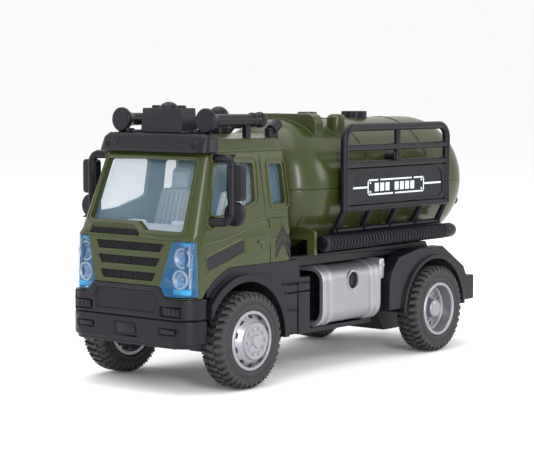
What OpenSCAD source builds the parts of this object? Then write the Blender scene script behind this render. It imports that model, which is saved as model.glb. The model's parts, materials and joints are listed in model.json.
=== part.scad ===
// Toy tanker truck with a tilted-front cab, a round tank, side racks and a friction drive.
// Drawn from the front axle: +Y runs to the rear, +X is the truck's left, Z = 0 is the ground.

/* [Overall] */
// Distance between the two axles
wheelbase = 95.8; // [88:0.2:116]
// Front axle to the face of the front bumper
front_overhang = 23.6; // [22:0.1:29]
// Rear axle to the rear end of the tank
rear_overhang = 31.2; // [27:0.2:38]
// Width over the outer tyre walls
track_w = 55.4; // [50:0.2:67]

/* [Wheels] */
// Rolling radius of the tyres
tyre_r = 14; // [12.5:0.1:14.8]
// Width of a tyre
tyre_w = 8; // [6.6:0.1:9.6]
// Radius of the rim where the tyre sits on it
rim_r = 8.8; // [8:0.1:10]
// Diameter of the steel axles
axle_d = 2.4; // [2:0.1:2.9]
// Radial play of an axle or shaft in its bearing
run_gap = 0.06; // [0.02:0.01:0.1]

/* [Cab] */
// Width of the cab over its doors
cab_w = 47.4; // [44:0.2:54]
// Rear wall of the cab, behind the front axle
cab_rear = 25.7; // [24:0.1:29]
// Height of the bottom edge of the green shell
cab_z0 = 27.3; // [26:0.1:29]
// Height of the roof rail, where the side leans into the roof
rail_z = 68.2; // [66:0.2:80]
// How far each side leans inwards from the belt to the roof rail
tumble = 3; // [1:0.1:4]
// Wall of the moulded shells
wall = 1.3; // [1:0.05:1.6]

/* [Tank] */
// Radius of the round tank
tank_r = 21.2; // [18:0.1:21.8]
// Height of the tank's axis, where its two halves meet
tank_z = 55.4; // [53:0.1:66]
// Gap between the cab and the front of the tank
tank_gap = 3.2; // [2.6:0.1:6]
// Depth of each domed end
dome_l = 17; // [12:0.2:20]

/* [Side racks] */
// Distance between the middles of the two rack frames
rack_span = 47.6; // [46.6:0.1:56]
// Length of a rack frame
rack_l = 56; // [44:0.2:60]
// Height of the rack's top tube above the tank axis
rack_up = 18.7; // [15:0.1:20]
// Diameter of the rack tube
rack_d = 2.5; // [2:0.1:2.8]
// Diameter of the ribbed hose
hose_d = 5; // [4.2:0.1:5.6]
// Length of the ribbed hose
hose_l = 72; // [60:0.5:78]

/* [Chassis] */
// Height of the deck that carries the tank
deck_z = 33.6; // [32.6:0.1:34]
// Height of the underside of the base cover
base_z = 11.6; // [11.4:0.1:12.6]
// Width of the chassis spine between the wheels
spine_w = 27; // [25:0.2:30]
// Length of a side fuel tank
fuel_l = 31; // [25:0.2:32]
// Height of a side fuel tank
fuel_h = 17.9; // [15:0.1:18.2]

/* [Friction drive] */
// Tooth size of the gears (pitch diameter over number of teeth)
gear_m = 0.5; // [0.45:0.01:0.55]
// Teeth of the axle gear and of the large layshaft gear
gear_n = 24; // [20:1:26]
// Teeth of the two small pinions
pinion_n = 8; // [8:1:9]
// Radius of the flywheel
flywheel_r = 6; // [5:0.1:6.2]

/* [Hidden] */

length = front_overhang + wheelbase + rear_overhang;
origin_y = front_overhang - length / 2;   // moves the front axle so that the box is centred
side_x = cab_w / 2;
spine_x = spine_w / 2;
tyre_x = track_w / 2 - tyre_w / 2;        // middle of a tyre
arch_r = tyre_r + 3.2;                    // wheel arches stand clear of the tyres
arch_lip = 2.2;                           // thickness of an arch seen from the side
arch_x = side_x + 1.9;                    // arches flare out past the doors
bumper_z = 13.2;                          // underside of the front bumper
belt_z = 45.2;                            // foot of the windscreen
seat_gap = 0.02;                          // gap between pieces that are pushed or screwed together
rear_y = wheelbase;
tank_y0 = cab_rear + tank_gap;            // front end of the tank
tank_y1 = wheelbase + rear_overhang;      // rear end of the tank
tank_mid = (tank_y0 + tank_y1) / 2;
rack_y = tank_mid - 1.2;                  // middle of the racks
rack_x = rack_span / 2;
rack_z1 = tank_z + rack_up;               // middle of the top tube
panel_z0 = rack_z1 - 25.2;                // middle of the tube under the sign board
panel_z1 = rack_z1 - 11.6;
rail_in_x = rack_x - 3.8;                 // foot rail of the rack, behind the hose
rail_in_z = panel_z0 - 7;
hose_x = rack_x - 0.3;
hose_z = rail_in_z - rack_d / 2 - hose_d / 2 + 0.9;
fuel_y = cab_rear + 12.8;                 // front end of a side fuel tank
fuel_x = side_x;
deck_t = 1.2;
rail_z1 = deck_z + 2;                      // top of the deck's side rails
rail_x = side_x - 4.3;                    // outer face of those rails
deck_y0 = cab_rear + 2;                   // the deck starts behind the skirt
cover_t = 1.5;                            // base cover
strap_t = 0.5;                            // straps stand proud of the fuel tank
fuel_z = base_z + cover_t + strap_t + seat_gap;
tail_y = wheelbase + 26.2;                // rear end of the chassis
tail_z = 25.6;
case_w = 18;                              // friction drive case
case_t = 1.1;
gear_d = gear_m * (gear_n + pinion_n) / 2;  // distance between meshing shafts
lay_a = 45;                               // the layshaft lies forward of the axle, tilted up
lay_y = rear_y - gear_d * cos(lay_a);
lay_z = tyre_r + gear_d * sin(lay_a);
fly_y = lay_y - gear_d;
fly_z = lay_z;
pin_d = 1.6;                              // layshaft and flywheel shaft
case_y0 = fly_y - flywheel_r - 1.6;
case_y1 = rear_y + gear_m * gear_n / 2 + 2.4;
case_z0 = tyre_r - gear_m * gear_n / 2 - 2.2;
case_z1 = lay_z + gear_m * gear_n / 2 + 2;
case_low = fly_z - flywheel_r - 1.6;      // underside of the case ahead of the axle gear

black = "#26262a";
olive = "#4c5a2c";
silver = "#b9bcc4";

// Puts a piece that is drawn from the front axle where the centred model has it
module place() translate([0, origin_y, 0]) children();

// The same piece for the truck's right-hand side
module right_side() mirror([1, 0, 0]) children();

// Solid along X, from a side outline given as [y, z]
module side_plate(x0, x1) translate([x0, 0, 0]) rotate([90, 0, 90])
    linear_extrude(x1 - x0) children();

// Solid along Y, from a front outline given as [x, z]
module front_plate(y0, y1) translate([0, y1, 0]) rotate([90, 0, 0])
    linear_extrude(y1 - y0) children();

// Round bar between two x positions
module cross_bar(r, x0, x1) translate([x0, 0, 0]) rotate([0, 90, 0])
    cylinder(r = r, h = x1 - x0, $fn = 48);

// Box given by its two far corners
module block(a, b) translate(a) cube(b - a);

// Rectangle with round corners, given by two corners
module round_rect(a, b, r) translate(a + [r, r]) offset(r, $fn = 24)
    square([b.x - a.x - 2 * r, b.y - a.y - 2 * r]);

// Rectangle with round corners at height z, as a closed ring of points
function ring(z, y0, y1, half, r) = [for (c = [[half - r, y1 - r, 0], [r - half, y1 - r, 90],
    [r - half, y0 + r, 180], [half - r, y0 + r, 270]], a = [0 : 15 : 90])
    [c.x + r * cos(c.z + a), c.y + r * sin(c.z + a), z]];

// Solid through a stack of rings that have the same number of points
module loft(rings) {
    n = len(rings[0]);
    top = n * (len(rings) - 1);
    polyhedron([for (r = rings, p = r) p], concat([[for (j = [0 : n - 1]) j]],
        [[for (j = [n - 1 : -1 : 0]) top + j]],
        [for (i = [0 : len(rings) - 2], j = [0 : n - 1]) let (a = i * n, k = (j + 1) % n)
            each [[a + j, a + n + j, a + n + k], [a + j, a + n + k, a + k]]]));
}

// ---------------------------------------------------------------- cab

// One level of the cab: [height, front, rear, half width, corner radius]
cab_nose = front_overhang - 0.4;           // the cab stands behind the bumper's front face
cab_levels = [
    [cab_z0, -cab_nose, side_x, 5.5],
    [belt_z - 1.6, -cab_nose + 1.6, side_x, 5.5],
    [belt_z, -cab_nose + 2.9, side_x - 0.2, 5.5],
    [rail_z - 1.6, -cab_nose + 10.9, side_x - tumble, 4.6],
    [rail_z, -cab_nose + 11.8, side_x - tumble - 0.3, 4.4],
    [rail_z + 3.4, -cab_nose + 15.5, side_x - tumble - 3.2, 4],
    [rail_z + 4.4, -cab_nose + 21, side_x - tumble - 9, 3.6]
];

// The cab's outer form, shrunk by an inset on every side
module cab_form(inset) loft([for (i = [0 : len(cab_levels) - 1]) let (l = cab_levels[i])
    ring(l[0] - (i == 0 ? sign(inset) / 2 : inset), l[1] + inset, cab_rear - inset, l[2] - inset,
        l[3] - min(inset, 2.4))]);

ws_top = rail_z - 2.5;        // upper edge of the windscreen
ws_x0 = 18.6;                 // half width of the windscreen at its foot
ws_x1 = 17.3;                 // and at its top
// Windscreen opening, with its lower step on the truck's left
module windscreen_outline() offset(0.9, $fn = 24) offset(-0.9)
    polygon([[-ws_x0, belt_z + 3], [1, belt_z + 3], [4.4, belt_z + 0.7], [ws_x0, belt_z + 0.7],
        [ws_x1, ws_top], [-ws_x1, ws_top]]);

win_z0 = rail_z - 18.4;       // lower edge of the door window at its front
win_z1 = rail_z - 3.6;
// Door window and the small window behind it, as [y, z]
module side_windows_outline() offset(1.1, $fn = 24) offset(-1.1) {
    polygon([[-12.6, win_z0], [-4, win_z0 + 0.6], [4.6, win_z0 + 2.9], [7.7, win_z0 + 3.9],
        [8.2, win_z1], [-8, win_z1 + 0.6]]);
    polygon([[15.2, win_z0 + 2.5], [21.7, win_z0 + 2.5], [21.2, win_z1 - 0.6], [15.2, win_z1 - 0.6]]);
}

lamp_z1 = belt_z - 1.8;
lamp_out = 0.35;
// Front outline of a headlamp, [x, z]; it tapers upwards
module lamp_outline(grow) offset(delta = grow)
    polygon([[12.8, cab_z0 + 0.2], [side_x + 2, cab_z0 + 0.2], [side_x + 2, lamp_z1],
        [16.8, lamp_z1], [15.9, lamp_z1 - 2.2], [12.8, cab_z0 + 3]]);
// Region of the cab's corner that a headlamp fills
module lamp_region(grow) front_plate(-cab_nose - 2, -cab_nose + 4.5 + grow) lamp_outline(grow);

slat_z = [cab_z0 + 4.5, cab_z0 + 8.7, cab_z0 + 12.8];
module slat_outline(z, h, w) polygon([[-w - 0.7, z + h], [w + 0.7, z + h], [w - 0.6, z], [-w + 0.6, z]]);
module grille_outline() {
    for (i = [0 : 2]) slat_outline(slat_z[i], 2.3, 10.2 + i * 1.2);
    polygon([[-17, belt_z - 1], [3.2, belt_z - 1], [0.4, belt_z + 1.5], [-16.8, belt_z + 1.5]]);
}

cab_screw_x = 15;
cab_screw_y = cab_rear - 3.1;
module cab_shell() color(olive) place() difference() {
    cab_form(0);
    difference() {
        cab_form(wall);
        // posts on the rear wall that take the cab screws
        for (s = [-1, 1]) block([s * cab_screw_x - 1.9, cab_screw_y - 1.9, cab_z0 + 7.8 + seat_gap],
            [s * cab_screw_x + 1.9, cab_rear, cab_z0 + 15]);
    }
    block([-side_x + 3, -cab_nose + 3.4, cab_z0 - 1], [side_x - 3, cab_rear - 2, cab_z0 + 1.6]);
    for (s = [-1, 1]) translate([s * cab_screw_x, cab_screw_y, cab_z0]) cylinder(d = 1.6, h = 13, $fn = 24);
    front_plate(-cab_nose - 1, -front_overhang + rise_t + 0.05) bumper_rise(0.05);
    front_plate(-cab_nose - 1, -4) windscreen_outline();
    side_plate(-side_x - 1, side_x + 1) side_windows_outline();
    front_plate(-cab_nose - 1, -cab_nose + 3.6) grille_outline();
    lamp_region(0);
    right_side() lamp_region(0);
    // the skirt's arch and sill take the lower edge of both sides
    side_plate(-side_x - 1, side_x + 1) skirt_outline(0.05);
}

module cab_glazing() color("#9fc6de", 0.5) place() difference() {
    cab_form(wall + 0.05);
    cab_form(wall + 0.85);
    block([-side_x, -cab_nose, 0], [side_x, cab_rear + 1, belt_z + 0.2]);
    block([-side_x, -cab_nose, rail_z - 2.2], [side_x, cab_rear + 1, rail_z + 9]);
    block([-side_x, 22.4, 0], [side_x, cab_rear + 1, rail_z + 9]);
}

module grille_insert() color(black) place() intersection() {
    difference() {
        cab_form(wall * 0.55);
        cab_form(wall - 0.02);
    }
    front_plate(-cab_nose - 1, -cab_nose + 3.6) offset(delta = -0.05) grille_outline();
}

module headlamp() difference() {
    intersection() {
        difference() {
            cab_form(-lamp_out);
            cab_form(wall + 0.6);
        }
        lamp_region(-0.05);
    }
    front_plate(-cab_nose - 2, -front_overhang + rise_t + 0.05) bumper_rise(0.05);
}
module headlamp_left() color("#4aa8ee", 0.7) place() headlamp();
module headlamp_right() color("#4aa8ee", 0.7) place() right_side() headlamp();

floor_z = cab_z0 + 7.8 + seat_gap;   // cab floor, on the skirt's bridge
seat_x = 12;
module seat(x) translate([x, 0, 0]) {
    side_plate(-6.6, 6.6) polygon([[-2, floor_z + 1.4], [11.5, floor_z + 1.4], [15.5, floor_z + 20],
        [12.6, floor_z + 20.6], [8.4, floor_z + 6.8], [-2, floor_z + 6.2]]);
    side_plate(-3.6, 3.6) polygon([[12.5, floor_z + 20], [15.5, floor_z + 19.5], [16.2, floor_z + 26.4],
        [13.9, floor_z + 26.8]]);
}
module cab_interior() color("#c9ccd4") place() {
    block([-side_x + 3.4, -cab_nose + 7, floor_z], [side_x - 3.4, 20.5, floor_z + 1.5]);
    side_plate(-side_x + 3.8, side_x - 3.8) polygon([[-cab_nose + 7, floor_z + 1.4],
        [-8, floor_z + 1.4], [-8, floor_z + 9], [-10.5, floor_z + 12], [-cab_nose + 7, floor_z + 10.6]]);
    for (x = [-seat_x, seat_x]) seat(x);
    // steering column
    translate([seat_x, -9, floor_z + 9]) rotate([-62, 0, 0]) cylinder(d = 1.8, h = 4.2, $fn = 24);
}

module steering_wheel() color("#c9ccd4") place()
    translate([seat_x, -9, floor_z + 9]) rotate([-62, 0, 0]) translate([0, 0, 4.2 + seat_gap]) {
        rotate_extrude($fn = 48) translate([4, 0.9]) circle(d = 1.1, $fn = 20);
        cylinder(d = 2.6, h = 1.5, $fn = 32);
        for (a = [0, 120, 240]) rotate(a) translate([0, -0.5, 0.4]) cube([4, 1, 0.8]);
    }

// Side outline of the black skirt: arch band, sill and the step behind the wheel
module skirt_outline(grow) offset(delta = grow) difference() {
    union() {
        translate([0.6, 13.5]) circle(r = arch_r + 5.2, $fn = 96);
        polygon([[0, 13.2], [cab_rear + 2.4, 13.2], [cab_rear + 1, cab_z0 + 7.9], [0, cab_z0 + 7.9]]);
    }
    translate([-60, cab_z0 + 7.9]) square([120, 60]);
    translate([-60, -60]) square([120, 60 + cab_z0]);
}
module skirt_side() difference() {
    union() {
        side_plate(side_x - 2.6, side_x - 0.05) difference() {
            union() {
                skirt_outline(0);
                polygon([[2, 12.8], [cab_rear + 6.3, 12.8], [cab_rear + 6.3, cab_z0 + 2.4],
                    [2, cab_z0 + 2.4]]);
            }
            translate([-60, -60]) square([60 - cab_nose + 5, 120]);
        }
        // flared lip round the arch
        translate([0, 0.6, 13.5]) cross_bar(arch_r + arch_lip, side_x - 2.6, arch_x);
        // mudguard over the wheel, back to the spine
        translate([0, 0.6, 13.5]) cross_bar(arch_r + 1.1, spine_x + 0.1, side_x - 1);
    }
    translate([0, 0.6, 13.5]) cross_bar(arch_r, spine_x - 2, arch_x + 1);
    block([0, -60, -30], [60, 60, 12.8]);
    block([0, -60, -30], [60, -cab_nose + 8.3, 60]);
    // the step at the foot of the door panel
    side_plate(side_x - 0.7, side_x + 1) polygon([[21, 25.2], [cab_rear + 7, 25.2], [cab_rear + 7, 25.6],
        [21, 25.6]]);
}
module cab_skirt() color(black) place() {
    skirt_side();
    right_side() skirt_side();
    // bridge that joins the two sides over the spine
    difference() {
        union() {
            block([-side_x + 2, 17.5, cab_z0 + 6.3], [side_x - 2, cab_rear - wall - 0.1, cab_z0 + 7.8]);
            for (s = [-1, 1]) block([min(s * (spine_x + 0.1), s * (side_x - 2)), 17.5, cab_z0 - 4],
                [max(s * (spine_x + 0.1), s * (side_x - 2)), 19, cab_z0 + 7.8]);
        }
        for (s = [-1, 1])
            translate([s * cab_screw_x, cab_screw_y, cab_z0]) cylinder(d = 1.8, h = 20, $fn = 24);
    }
}

// ---------------------------------------------------------------- front bumper

bumper_x = side_x + 0.4;
split_z = 21.2;
// Bumper seen from above, as a closed band that wraps the corners
module bumper_plan(inset) translate([-bumper_x + inset, -front_overhang + inset])
    round_rect([0, 0], [2 * bumper_x - 2 * inset, 26], 6.4 - inset);
// Raised middle of the bumper, with slanted ends
rise_t = 2.4;
module bumper_rise(grow) offset(delta = grow) polygon([[-16, split_z + 1], [16, split_z + 1],
    [16, cab_z0 - 0.6], [13, cab_z0 + 3.1], [-13, cab_z0 + 3.1], [-16, cab_z0 - 0.6]]);
module bumper_ring(z0, z1, inset) difference() {
    translate([0, 0, z0]) linear_extrude(z1 - z0) difference() {
        bumper_plan(inset);
        bumper_plan(2.6);
    }
    block([-40, -front_overhang + 8.2, z0 - 1], [40, 60, z1 + 1]);
}
module front_bumper() color(black) place() difference() {
    union() {
        bumper_ring(bumper_z + 1.2, split_z - 0.2, 0);
        bumper_ring(bumper_z, bumper_z + 1.2, 0.8);
        bumper_ring(split_z - 0.3, split_z + 0.3, 0.6);
        bumper_ring(split_z + 0.2, cab_z0 - 0.1, 0);
        front_plate(-front_overhang, -front_overhang + rise_t) bumper_rise(0);
        // arms back to the chassis spine
        for (s = [-1, 1]) block([s * 8 - 2, -front_overhang + 2, 17], [s * 8 + 2, -17.05, 22]);
    }
    // square lamp recesses and the slots of the lower tier
    for (s = [-1, 1]) {
        front_plate(-front_overhang - 1, -front_overhang + 0.9)
            round_rect([s * 17.1 - 3.9, 22.1], [s * 17.1 + 3.9, 25], 0.5);
        front_plate(-front_overhang - 1, -front_overhang + 0.7)
            round_rect([s * 16.1 - 3.6, 16.9], [s * 16.1 + 3.6, 18.9], 0.6);
    }
    front_plate(-front_overhang - 1, -front_overhang + 0.5) round_rect([-4.6, 15.8], [4.6, 19.5], 0.5);
}

// ---------------------------------------------------------------- roof

roof_plate_z = rail_z + 5;    // top of the plate that carries the roof fittings
visor_y0 = -cab_nose + 9.4;
visor_z0 = rail_z - 0.3;
module roof_visor() color(black) place() difference() {
    union() {
        loft([ring(visor_z0, visor_y0, -5.3, side_x - 2.5, 3.2),
            ring(visor_z0 + 4, visor_y0 + 1.7, -5.3, side_x - 3.1, 2.4),
            ring(roof_plate_z, visor_y0 + 3.2, -5.3, side_x - 4.4, 1.6)]);
        // plate under the lamp box
        block([-9, -8, visor_z0 + 3.4], [9, -0.6, roof_plate_z]);
    }
    cab_form(-0.05);
}

lamp_box_z = roof_plate_z + seat_gap;
module roof_lamp_box() color(black) place() translate([0, -4.9, 0]) {
    front_plate(-3.4, 3.4) polygon([[-8.1, lamp_box_z], [8.1, lamp_box_z], [8.1, lamp_box_z + 1.2],
        [7.4, lamp_box_z + 7.2], [-7.4, lamp_box_z + 7.2], [-8.1, lamp_box_z + 1.2]]);
    for (s = [-1, 1]) translate([s * 5, 0, lamp_box_z + 7.1]) cylinder(d = 2.6, h = 0.9, $fn = 32);
}
module roof_lamp_dome() color("#3a3a40") place() intersection() {
    translate([0, -4.9, lamp_box_z + 5.7 + seat_gap]) sphere(r = 3.3, $fn = 48);
    block([-4, -9, lamp_box_z + 7.2 + seat_gap], [4, -1, lamp_box_z + 10]);
}

horn_z = roof_plate_z + 3.7;
module air_horn() difference() {
    translate([16.6, 0, horn_z]) rotate([-90, 0, 0]) horn_form();
    cab_form(-seat_gap);
}
module horn_form() {
    translate([0, 0, -8.2]) rotate_extrude($fn = 48) polygon([[0, 0], [3.3, 0], [3.6, 0.35], [3.6, 1.3],
        [3.1, 1.7], [2.4, 3.4], [1.9, 4.6], [1.75, 20.6], [2.15, 20.8], [2.15, 22], [1.3, 22.3],
        [1.3, 23], [0, 23]]);
    translate([0, 0, 16.4]) sphere(r = 2.35, $fn = 40);
    // front foot on the visor, rear foot on the roof
    for (f = [[-7.9, 3.7 - seat_gap], [9.4, 6]]) translate([-0.8, 0, f[0]]) cube([1.6, f[1], 2.2]);
}
module air_horn_left() color(black) place() air_horn();
module air_horn_right() color(black) place() right_side() air_horn();

module roof_beacon() color(black) place() translate([0, 17.2, rail_z + 4.4 + seat_gap])
    rotate_extrude($fn = 48) polygon(concat([[0, 0], [3.7, 0], [3.7, 1.8], [3.2, 2.1], [3.2, 4.9]],
        [for (a = [10 : 10 : 80]) [3.2 * cos(a), 4.9 + 3.2 * sin(a)]], [[0, 8.1]]));

module roof_spotlights() color(black) place() difference() {
    for (s = [-1, 1]) translate([s * 16.4, 22.8, rail_z + 6]) {
        rotate([-66, 0, s * 12]) translate([0, 0, -1.2]) cylinder(r = 1.7, h = 4.6, $fn = 32);
        translate([-1, -2.6, -4]) cube([2, 4, 4.2]);
    }
    cab_form(-seat_gap);
}

// ---------------------------------------------------------------- mirrors

mirror_x = 27.6;
arm_d = 2.4;
mirror_y = -8.9;
// Arm of round bar: out from the upper socket, down, and back in to the lower socket
module mirror_arm() translate([mirror_x, mirror_y, 0]) {
    z1 = rail_z - 1.8;
    z0 = win_z0 - 1.2;
    bend = 2.4;
    translate([0, 0, z0 + bend - 0.4]) cylinder(d = arm_d + 0.1, h = z1 - z0 - 2 * bend + 0.8, $fn = 24);
    // each end: height of its bend, up or down, swing forwards in degrees, reach to the cab
    for (end = [[z1 - bend, 1, -7, 8.4], [z0 + bend, -1, 36, 7]]) rotate([0, 0, end[2]]) {
        translate([-bend, 0, end[0]]) rotate([90, 0, 0]) rotate([end[1] > 0 ? 0 : 180, 0, 0])
            rotate_extrude(angle = 90, $fn = 48) translate([bend, 0]) circle(d = arm_d, $fn = 24);
        translate([0, 0, end[0] + end[1] * bend]) cross_bar(arm_d / 2 + 0.05, -end[3], 0.4 - bend);
    }
}
module wing_mirror() {
    difference() {
        mirror_arm();
        cab_form(-0.02);
    }
    // tall mirror head and the small round one below it
    translate([0, mirror_y + 1.9, 0]) rotate([90, 0, 0]) linear_extrude(2.2)
        round_rect([mirror_x - 1.8, win_z0 + 4.8], [mirror_x + 3.7, rail_z - 3.4], 1.2);
    translate([mirror_x + 0.8, mirror_y - 0.4, win_z0 + 1.1]) rotate([-90, 0, 0])
        cylinder(r = 3.4, h = 1.6, $fn = 40);
}
module mirror_left() color(black) place() wing_mirror();
module mirror_right() color(black) place() right_side() wing_mirror();

// ---------------------------------------------------------------- tank

// Half outline of the tank, [radius, distance along the axis]; the ends are flattened domes
dome_steps = 12;
function dome(t, l, r) = [r * pow(sin(90 * t), 0.72), l * (1 - pow(cos(90 * t), 0.72))];
function tank_outline(inset) = let (l = dome_l - inset, r = tank_r - inset,
    n = tank_y1 - tank_y0 - 2 * inset) concat(
    [for (i = [0 : dome_steps]) dome(i / dome_steps, l, r)],
    [for (i = [dome_steps : -1 : 0]) [dome(i / dome_steps, l, r)[0], n - dome(i / dome_steps, l, r)[1]]]);
module tank_body(inset) translate([0, tank_y0 + inset, tank_z]) rotate([-90, 0, 0])
    rotate_extrude($fn = 96) polygon(tank_outline(inset));

rib_y = tank_y0 + dome_l + 0.3;           // raised rib across the crown, behind the front dome
crown_z = tank_z + tank_r;
post_y = rib_y + 13.6;
cap_y = tank_y0 + 56.6;
cap_z = crown_z - 0.7;
module tank_upper_half() color(olive) place() difference() {
    union() {
        tank_body(0);
        front_plate(rib_y, rib_y + 4.2) round_rect([-14.3, tank_z + 8], [14.3, crown_z + 1.6], 3);
        // two round posts, and the hatch collar between them
        for (s = [-1, 1]) translate([s * 12, post_y, tank_z + 10]) rotate_extrude($fn = 48)
            polygon([[0, 0], [2.9, 0], [2.9, tank_r - 9.8], [2.5, tank_r - 9.1], [1.7, tank_r - 8.6],
                [0, tank_r - 8.5]]);
        translate([0, post_y + 0.6, crown_z - 3]) cylinder(r = 3.5, h = 3.6, $fn = 64);
    }
    difference() {
        tank_body(wall);
        // thicker crown under the filler cap
        translate([0, cap_y, cap_z - wall]) cylinder(r = 5.6, h = 5, $fn = 64);
    }
    translate([0, cap_y, cap_z]) cylinder(r = 4.4, h = 5, $fn = 64);
    block([-40, -10, 0], [40, 200, tank_z + 0.02]);
}
module manhole_cover() color(olive) place()
    translate([0, post_y + 0.6, crown_z + 0.6 + seat_gap]) difference() {
        cylinder(r = 3.1, h = 1.4, $fn = 64);
        translate([0, 0, 0.8]) difference() {
            cylinder(r = 2.3, h = 2, $fn = 64);
            translate([-0.5, -2.4, -1]) cube([1, 4.8, 4]);
        }
    }
module filler_cap() color(black) place() translate([0, cap_y, cap_z + seat_gap])
    difference() {
        cylinder(r = 4.2, h = 2.7, $fn = 64);
        for (a = [0 : 60 : 300]) rotate(a) translate([4.5, 0, 0.9]) cylinder(r = 0.8, h = 5, $fn = 24);
    }

module hose_plate() front_plate(hose_y0 - 3, hose_y0 - 1.6) polygon([[14, hose_z + 5.4],
    [hose_x - 1.2, hose_z + 4.2], [hose_x - 0.4, hose_z + 3.6], [hose_x - 0.4, rail_z1 + 0.1],
    [hose_x - 3.4, rail_z1 + 0.1], [hose_x - 3.4, hose_z + 1.2], [14, hose_z + 1.2]]);
module tank_lower_half() color(olive) place() {
    difference() {
        union() {
            tank_body(0);
            for (s = [-1, 1]) {
                // brackets that the rack's foot rail is pegged to
                for (y = [rack_y - 20, rack_y, rack_y + 20])
                    block([min(s * 12, s * (rail_in_x - rack_d / 2)), y - 1.5, rail_in_z - 1.4],
                        [max(s * 12, s * (rail_in_x - rack_d / 2)), y + 1.5, rail_in_z + 1.4]);
            }
            // bracket plates in front of the hoses
            hose_plate();
            right_side() hose_plate();
        }
        tank_body(wall);
        block([-40, -10, tank_z - 0.02], [40, 200, 120]);
        block([-40, -10, 0], [40, 200, deck_z + 0.3]);
        for (y = tank_screw_y) translate([0, y, 0]) cylinder(d = 2.2, h = 40, $fn = 24);
    }
    // screw posts standing on the inside of the shell
    for (y = tank_screw_y) translate([0, y, tank_z - tank_r + wall - 0.4]) difference() {
        cylinder(d = 4.4, h = 9, $fn = 32);
        translate([0, 0, -1]) cylinder(d = 1.7, h = 8.4, $fn = 24);
    }
}

module rear_valves() color(black) place() difference() {
    for (s = [-1, 1]) translate([s * 12.5, tank_y1 - 5, tank_z - 7.6]) rotate([-90, 0, 0]) difference() {
        cylinder(r = 1.7, h = 4.8, $fn = 32);
        translate([0, 0, 4]) cylinder(r = 0.9, h = 2, $fn = 24);
    }
    tank_body(-seat_gap);
}

// ---------------------------------------------------------------- side racks and hoses

corner_r = 4.2;
rack_y0 = rack_y - rack_l / 2;
rack_y1 = rack_y + rack_l / 2;
bar_d = rack_d - 0.3;         // bars inside the frame are a little thinner
module tube_z(y, z0, z1, d) translate([rack_x, y, z0]) cylinder(d = d, h = z1 - z0, $fn = 24);
module tube_y(x, z, y0, y1, d) translate([x, y0, z]) rotate([-90, 0, 0])
    cylinder(d = d, h = y1 - y0, $fn = 24);
module rack_leg(y) {
    dx = rack_x - rail_in_x;
    dz = panel_z0 - rail_in_z;
    translate([rail_in_x, y, rail_in_z]) rotate([0, atan2(dx, dz), 0])
        cylinder(d = bar_d - 0.2, h = norm([dx, dz]), $fn = 24);
}
peg_up = 9.1;                 // middle peg between tank and rack, above the tank's axis
peg_r = 1.7;
module side_rack() {
    for (y = [rack_y0, rack_y1]) tube_z(y, panel_z0 - 0.4, rack_z1 - corner_r, rack_d);
    for (c = [[rack_y0, 1], [rack_y1, -1]]) translate([rack_x, c[0] + c[1] * corner_r, rack_z1 - corner_r])
        rotate([0, 90, 0]) rotate(c[1] > 0 ? 180 : 90) rotate_extrude(angle = 90, $fn = 64)
        translate([corner_r, 0]) circle(d = rack_d, $fn = 24);
    tube_y(rack_x, rack_z1, rack_y0 + corner_r, rack_y1 - corner_r, rack_d);
    for (z = [rack_z1 - 6.3, panel_z1, panel_z0]) tube_y(rack_x, z, rack_y0, rack_y1, bar_d);
    tube_z(rack_y, panel_z1, rack_z1, bar_d - 0.1);
    for (i = [0 : 4]) rack_leg(rack_y0 + i * rack_l / 4);
    tube_y(rail_in_x, rail_in_z, rack_y0 - 1.2, rack_y1 + 1.2, bar_d);
    // pegs that hold the rack off the tank: one at the middle post, two at the board's lower rail
    for (p = [[rack_y, peg_up, peg_r], [rack_y - 14, panel_z0 - tank_z, peg_r - 0.7],
            [rack_y + 14, panel_z0 - tank_z, peg_r - 0.7]])
        translate([0, p[0], tank_z + p[1]])
            cross_bar(p[2], sqrt(pow(tank_r, 2) - pow(max(0, abs(p[1]) - p[2]), 2)) + seat_gap, rack_x);
}
module side_rack_left() color(black) place() side_rack();
module side_rack_right() color(black) place() right_side() side_rack();
// Board between the posts; it fills the frame under the second row
module sign_board() translate([rack_x - 0.6, 0, 0])
    block([0, rack_y0 + rack_d / 2 + seat_gap, panel_z0 + rack_d / 2 + seat_gap],
        [1.2, rack_y1 - rack_d / 2 - seat_gap, panel_z1 - rack_d / 2 - seat_gap]);
module sign_board_left() color(black) place() sign_board();
module sign_board_right() color(black) place() right_side() sign_board();

hose_y0 = rack_y0 - 11;       // front end of the hose
rib_pitch = 2.1;
collar_l = 5;
rib_n = floor((hose_l - 2 * collar_l) / rib_pitch);
rib_end = collar_l + rib_n * rib_pitch;
module hose() translate([hose_x, hose_y0, hose_z]) rotate([-90, 0, 0]) rotate_extrude($fn = 40)
    polygon(concat([[0, 0], [hose_d / 2 - 0.5, 0], [hose_d / 2, 0.5], [hose_d / 2, collar_l - 1]],
        [for (i = [0 : rib_n - 1], p = [[-0.55, 0], [-0.55, 0.5], [0, 0.8], [0, 1.7]])
            [hose_d / 2 + p[0], collar_l + i * rib_pitch + p[1]]],
        [[hose_d / 2 - 0.3, rib_end], [hose_d / 2 - 0.1, rib_end + 0.6], [hose_d / 2 - 0.1, hose_l - 2],
            [hose_d / 2 - 0.9, hose_l - 0.5], [hose_d / 2 - 1.6, hose_l], [0, hose_l]]));
module hose_left() color(black) place() hose();
module hose_right() color(black) place() right_side() hose();

// ---------------------------------------------------------------- side fuel tanks

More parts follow.
